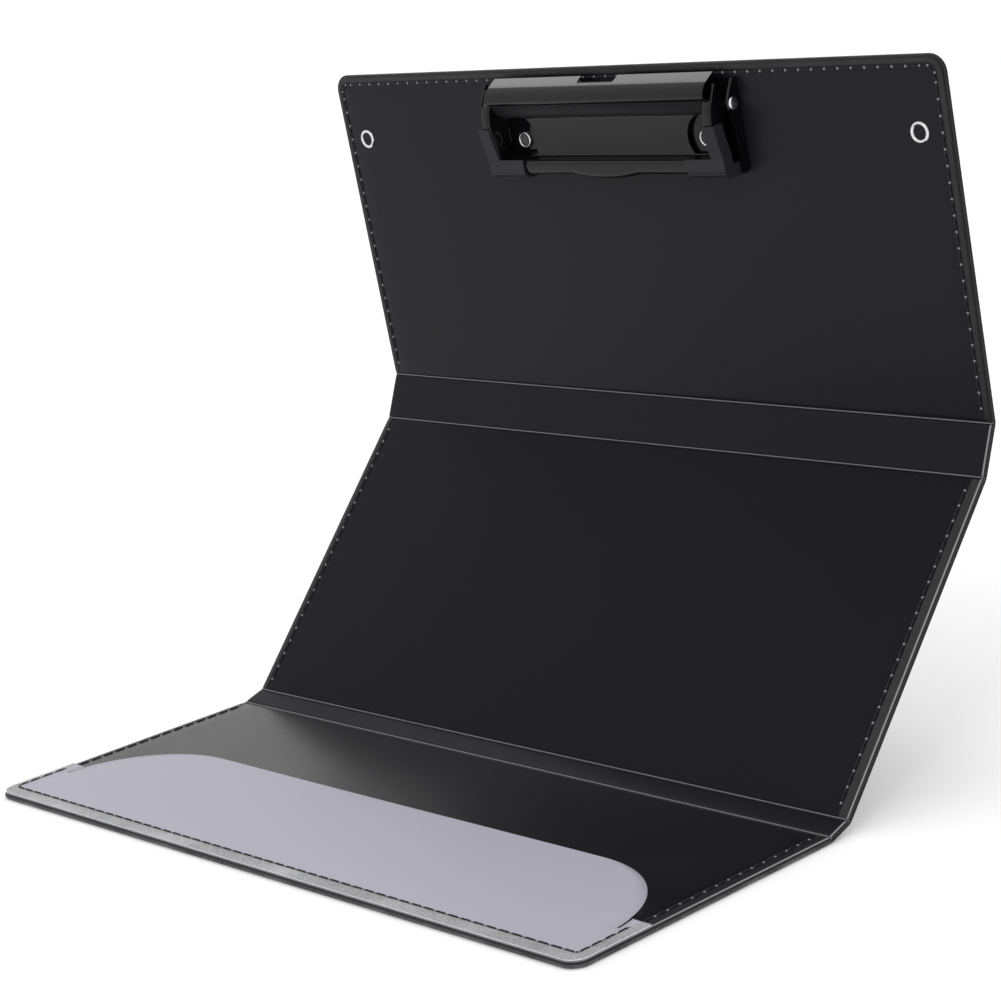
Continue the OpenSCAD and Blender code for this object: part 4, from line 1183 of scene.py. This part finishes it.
def soften(line, reach, times=2):
    """Rounds the corners of a line by cutting them a little, and then a little less."""
    for _ in range(times):
        cut = [line[0]]
        for before, corner, after in zip(line, line[1:], line[2:]):
            for other in (before, after):
                away = other - corner
                cut.append(corner + away.normalized() * min(reach, away.length * 0.3))
        line = cut + [line[-1]]
        reach *= 0.45
    return line


def lookup(line, at):
    """Height of a line at a distance from the free edge."""
    for a, b in zip(line, line[1:]):
        if a[0] <= at <= b[0] and b[0] > a[0]:
            return a[1] + (b[1] - a[1]) * (at - a[0]) / (b[0] - a[0])
    return line[0][1] if at < line[0][0] else line[-1][1]


def bow(x, from_edge):
    """How far the middle of the jaw stands out to the front."""
    arch = BOW_DEPTH - (BOW_R - math.sqrt(BOW_R * BOW_R - x * x))
    share = min(max((from_edge - FLOOR_FRONT - 1.5) / 1.6, 0), 1)
    return max(arch, 0) * share


def pressed_sheet():
    """The roll, the floor and the front bead as one sheet, whose outer face is drawn."""
    half_w = LEVER_W / 2 - BEAD_W + SHEET_T
    corner = roll_line[-1] + Vector((SHEET_T / 3, -SHEET_T / 2))
    roll = soften(roll_line, 0.8)
    line = roll + soften([corner] + cover_line + floor_line + bead_line + jaw_line, 0.55)
    xs = [-half_w, -half_w + 0.5, -39, -34, -28, -22, -17] + [k * 1.25 for k in range(-12, 13)]
    xs += [17, 22, 28, 34, 39, half_w - 0.5, half_w]
    points, faces, slots = [], [], []
    for s, h in line:
        widen = 1 + (BEAD_W - SHEET_T - 0.1) / half_w * min(max((s - FLOOR_FRONT) / 0.6, 0), 1)
        for x in xs:
            points.append((x * widen, TOP_LEN - s - bow(x, s), h))
    n = len(xs)
    for i in range(len(line) - 1):
        for k in range(n - 1):
            faces.append((i * n + k, (i + 1) * n + k, (i + 1) * n + k + 1, i * n + k + 1))
            slots.append(1 if i >= len(roll) and line[i + 1][0] <= floor_rear + 0.3 else 0)
    return points, faces, slots


def block(outline, low, high):
    """A closed block over an outline of (x, distance from the free edge)."""
    n = len(outline)
    points = [(x, TOP_LEN - s, h) for h in (low, high) for x, s in outline]
    faces = [tuple(range(n)), tuple(reversed(range(n, 2 * n)))]
    faces += [(k, k + n, (k + 1) % n + n, (k + 1) % n) for k in range(n)]
    return points, faces


def window_outline(side):
    inner_w = LEVER_W / 2 - BEAD_W
    turns = [2 * math.pi * k / 64 for k in range(64)]
    return [(side * min(WINDOW_OFFSET + WINDOW_R * math.cos(t), inner_w),
             min(WINDOW_FROM_EDGE + WINDOW_R * math.sin(t), FLOOR_FRONT - SHEET_T / 2)) for t in turns]


def notch_outline():
    """The notch in the rear edge of the roll, with rounded inner corners."""
    r, deep, half = 0.7, ROLL_REAR + NOTCH_DEPTH, NOTCH_W / 2
    turn = [(half - r + r * math.cos(t), deep - r + r * math.sin(t))
            for t in (math.pi / 2 * k / 6 for k in range(7))]
    return [(half, 0)] + turn + [(-x, s) for x, s in reversed(turn)] + [(-half, 0)]


def cut_and_bake(piece, cutters):
    """Cuts closed blocks out of a piece and keeps what its modifiers made of it."""
    tools = []
    for k, (points, faces) in enumerate(cutters):
        tool = face_outward(make_piece(f"{piece.name}_cutter_{k}", points, faces, PANELS["top"][1], []))
        cut = piece.modifiers.new("opening", "BOOLEAN")
        cut.operation = "DIFFERENCE"
        # the exact solver now and then leaves the notch's block standing on the roll
        cut.solver = "FAST"
        cut.object = tool
        tools.append(tool)
    bpy.context.view_layer.update()
    shaped = bpy.data.meshes.new_from_object(piece.evaluated_get(bpy.context.evaluated_depsgraph_get()))
    piece.modifiers.clear()
    piece.data = shaped
    for tool in tools:
        # the mesh goes too, and takes its object with it
        bpy.data.meshes.remove(tool.data, do_unlink=True)


def side_bead(side):
    """The bead and the cheek at one end, as closed sections set along the end."""
    x_out, x_in = LEVER_W / 2, LEVER_W / 2 - BEAD_W
    top = soften(side_line + jaw_line[:3], 0.7)
    low_line = [Vector(p) for p in (
        (CHEEK_REAR, 4.7), (PIN_FROM_EDGE - 2, 1.4), (PIN_FROM_EDGE + 2, 1.4), (GRIP_REAR + GRIP_DEPTH, 3.9),
        (JAW_FROM_EDGE - GRIP_DEPTH, 3.9), (JAW_FROM_EDGE - 2 * SHEET_T, JAW_HEIGHT),
        (JAW_FROM_EDGE, JAW_HEIGHT),
    )]
    rear_line = [Vector((CHEEK_REAR, 5.1)), Vector((7.5, 6.4)), Vector((ROLL_FRONT, 7.1))]
    rows = [(s, lookup(rear_line, s), x_out - SHEET_T, 0.2) for s in (CHEEK_REAR, 5.2, 6.2, 7.5, 8.3, 8.8)]
    rows += [(s, h, x_in, BEAD_R if s < JAW_FROM_EDGE - 1 else 0.4) for s, h in top]
    points = []
    for s, high, inner, r in rows:
        low = lookup(low_line, s)
        turns = [math.pi / 2 * k / 5 for k in range(6)]
        wall_low = FLOOR_HEIGHT - SHEET_T if inner == x_in else low
        ring = [(inner, wall_low)]
        ring += [(inner + r * (1 - math.cos(t)), high - r * (1 - math.sin(t))) for t in turns]
        ring += [(x_out - r * (1 - math.sin(t)), high - r * (1 - math.cos(t))) for t in turns]
        ring += [(x_out, low), (x_out - SHEET_T, low), (x_out - SHEET_T + 0.02, high - SHEET_T)]
        inside = inner + SHEET_T if inner == x_in else inner + 0.04
        ring += [(inside, high - SHEET_T), (inside, wall_low)]
        points += [(side * x, TOP_LEN - s, h) for x, h in ring]
    return points, tube_faces(len(rows), len(ring))


gloss_lacquer = metal_finish("gloss lacquer", (0.003, 0.003, 0.0038), 0.09, 0.0, 0.25, 0.3, 0.08)
# the band behind the roll has a duller, greyer copy of the lacquer, whose tone is painted light: it stands
# in for how that band shows in the light there
band_lacquer_painted_light = metal_finish("lacquer painted light", (0.02, 0.02, 0.022), 0.5, 0.0, 0.15)
points, faces, slots = pressed_sheet()
lever = make_piece("pressed_lever", points, faces, PANELS["top"][1], [gloss_lacquer, band_lacquer_painted_light], slots,
                   sharp=50)
sheet = lever.modifiers.new("sheet", "SOLIDIFY")
sheet.thickness = SHEET_T * MM
sheet.offset = -1
cut_and_bake(lever, [
    block(window_outline(-1), *WINDOW_CUT), block(window_outline(1), *WINDOW_CUT),
    block(notch_outline(), *NOTCH_CUT),
])
lever.data.set_sharp_from_angle(angle=math.radians(50))
lip = lever.modifiers.new("sheet edge", "BEVEL")
lip.width = 0.2 * MM
lip.segments = 3
lip.angle_limit = math.radians(60)
lip.harden_normals = True
fit(lever, "clip_lever", "black_steel", "clip_lever")
for side, name in ((-1, "left"), (1, "right")):
    end = make_piece(f"{name}_side_bead", *side_bead(side), PANELS["top"][1], [gloss_lacquer], sharp=50)
    fit(face_outward(end), "clip_lever", "black_steel")

# ---- Corner grips ------------------------------------------------------------
# Matte soft plastic, moulded as an L and pressed over the front corners of the
# lever, so that it does not mark the paper or the panel.


def soft_plastic_finish():
    material, nodes, links, surface = new_material("soft plastic", 0.62, 0.3)
    where = object_place(nodes)
    tooth = noise(nodes, links, where, 1800, 4)
    shade = noise(nodes, links, where, 120)
    two_tones(nodes, links, surface, shade, (0.012, 0.012, 0.0145), (0.021, 0.021, 0.0245))
    add_bump(nodes, links, surface, tooth, 0.08)
    return material


soft_plastic = soft_plastic_finish()
for node in ("left_grip", "right_grip"):
    round_edges(finish_node(node, soft_plastic), 0.22)

# ---- Floor, light and camera -------------------------------------------------
# A pale floor under a white sky, which metal, film and glossy faces see as white
# too. A wide soft lamp and a narrow one stand off from the clip and face it.

# brightness of the floor's own glow, and of the sky where it only lights and where it is seen
FLOOR_GLOW, SKY_UNSEEN, SKY_SEEN = 0.17, 0.95, 1.0
FLOOR_REACH_M = 5


def seen_rays(nodes, links):
    """1 for the rays of the camera and for those that gloss and clear film send on."""
    rays = nodes.new("ShaderNodeLightPath").outputs
    seen = math_node(nodes, links, "MAXIMUM", rays["Is Camera Ray"], rays["Is Glossy Ray"])
    return math_node(nodes, links, "MAXIMUM", seen, rays["Is Transmission Ray"])


def pale_floor_finish():
    material, nodes, links, surface = new_material("pale floor", 0.9, 0.0)
    surface.inputs["Base Color"].default_value = (0.92, 0.92, 0.92, 1)
    surface.inputs["Emission Color"].default_value = (1, 1, 1, 1)
    glow = spread(nodes, links, seen_rays(nodes, links), 0, 1, 0, FLOOR_GLOW)
    links.new(glow, surface.inputs["Emission Strength"])
    return material


floor_mesh = bpy.data.meshes.new("floor")
corners = [(x * FLOOR_REACH_M, y * FLOOR_REACH_M, 0) for x, y in ((-1, -1), (1, -1), (1, 1), (-1, 1))]
floor_mesh.from_pydata(corners, [], [(0, 1, 2, 3)])
floor_mesh.materials.append(pale_floor_finish())
floor = bpy.data.objects.new("floor", floor_mesh)
bpy.context.scene.collection.objects.link(floor)

world = bpy.data.worlds.new("white sky")
bpy.context.scene.world = world
world.use_nodes = True
sky, sky_links = world.node_tree.nodes, world.node_tree.links
sky["Background"].inputs["Color"].default_value = (1, 1, 1, 1)
strength = spread(sky, sky_links, seen_rays(sky, sky_links), 0, 1, SKY_UNSEEN, SKY_SEEN)
sky_links.new(strength, sky["Background"].inputs["Strength"])


def softbox(name, towards, distance, width, height, brightness):
    """A soft lamp that stands off from the clip in a direction and faces it. Its
    brightness is a multiple of the white sky's."""
    data = bpy.data.lights.new(name, "AREA")
    data.shape = "RECTANGLE"
    data.size, data.size_y = width, height
    data.energy = brightness * math.pi * width * height
    lamp = bpy.data.objects.new(name, data)
    bpy.context.scene.collection.objects.link(lamp)
    away = Vector(towards).normalized()
    clip = at_spot(0, PIN_FROM_EDGE, PIN_HEIGHT).translation
    facing = away.to_track_quat("Z", "Y").to_matrix().to_4x4()
    lamp.matrix_world = Matrix.Translation(clip + away * distance) @ facing


softbox("softbox", (-0.695, 0.15, 0.70), 1.3, 0.34, 0.42, 2.5)
softbox("strip_lamp", (0.45, -0.55, 0.7), 1.3, 0.06, 0.35, 14)

bpy.context.scene.view_settings.view_transform = "Standard"

# the solved camera: its place and axes in the frame of the lower panel's rear
# crease, whose left end is the zero of X
CAMERA_AT = Vector((660.2, -486.5, 244.7))
CAMERA_RIGHT = Vector((0.69077, 0.71486, -0.10869))
CAMERA_UP = Vector((-0.08956, 0.23374, 0.96817))
CAMERA_BACK = Vector((0.71750, -0.65905, 0.22548))
camera_data = bpy.data.cameras.new("camera")
camera_data.sensor_width = 36
camera_data.lens = 95.87
camera_data.clip_start = 0.01
camera_data.clip_end = 20
camera = bpy.data.objects.new("camera", camera_data)
bpy.context.scene.collection.objects.link(camera)
stood = CAMERA_AT * MM + Vector((-PANEL_W / 2 * MM, 0, 0)) + CREASES[0]
camera.matrix_world = Matrix.Translation(stood) @ Matrix(
    [[CAMERA_RIGHT[i], CAMERA_UP[i], CAMERA_BACK[i]] for i in range(3)]
).to_4x4()
bpy.context.scene.camera = camera
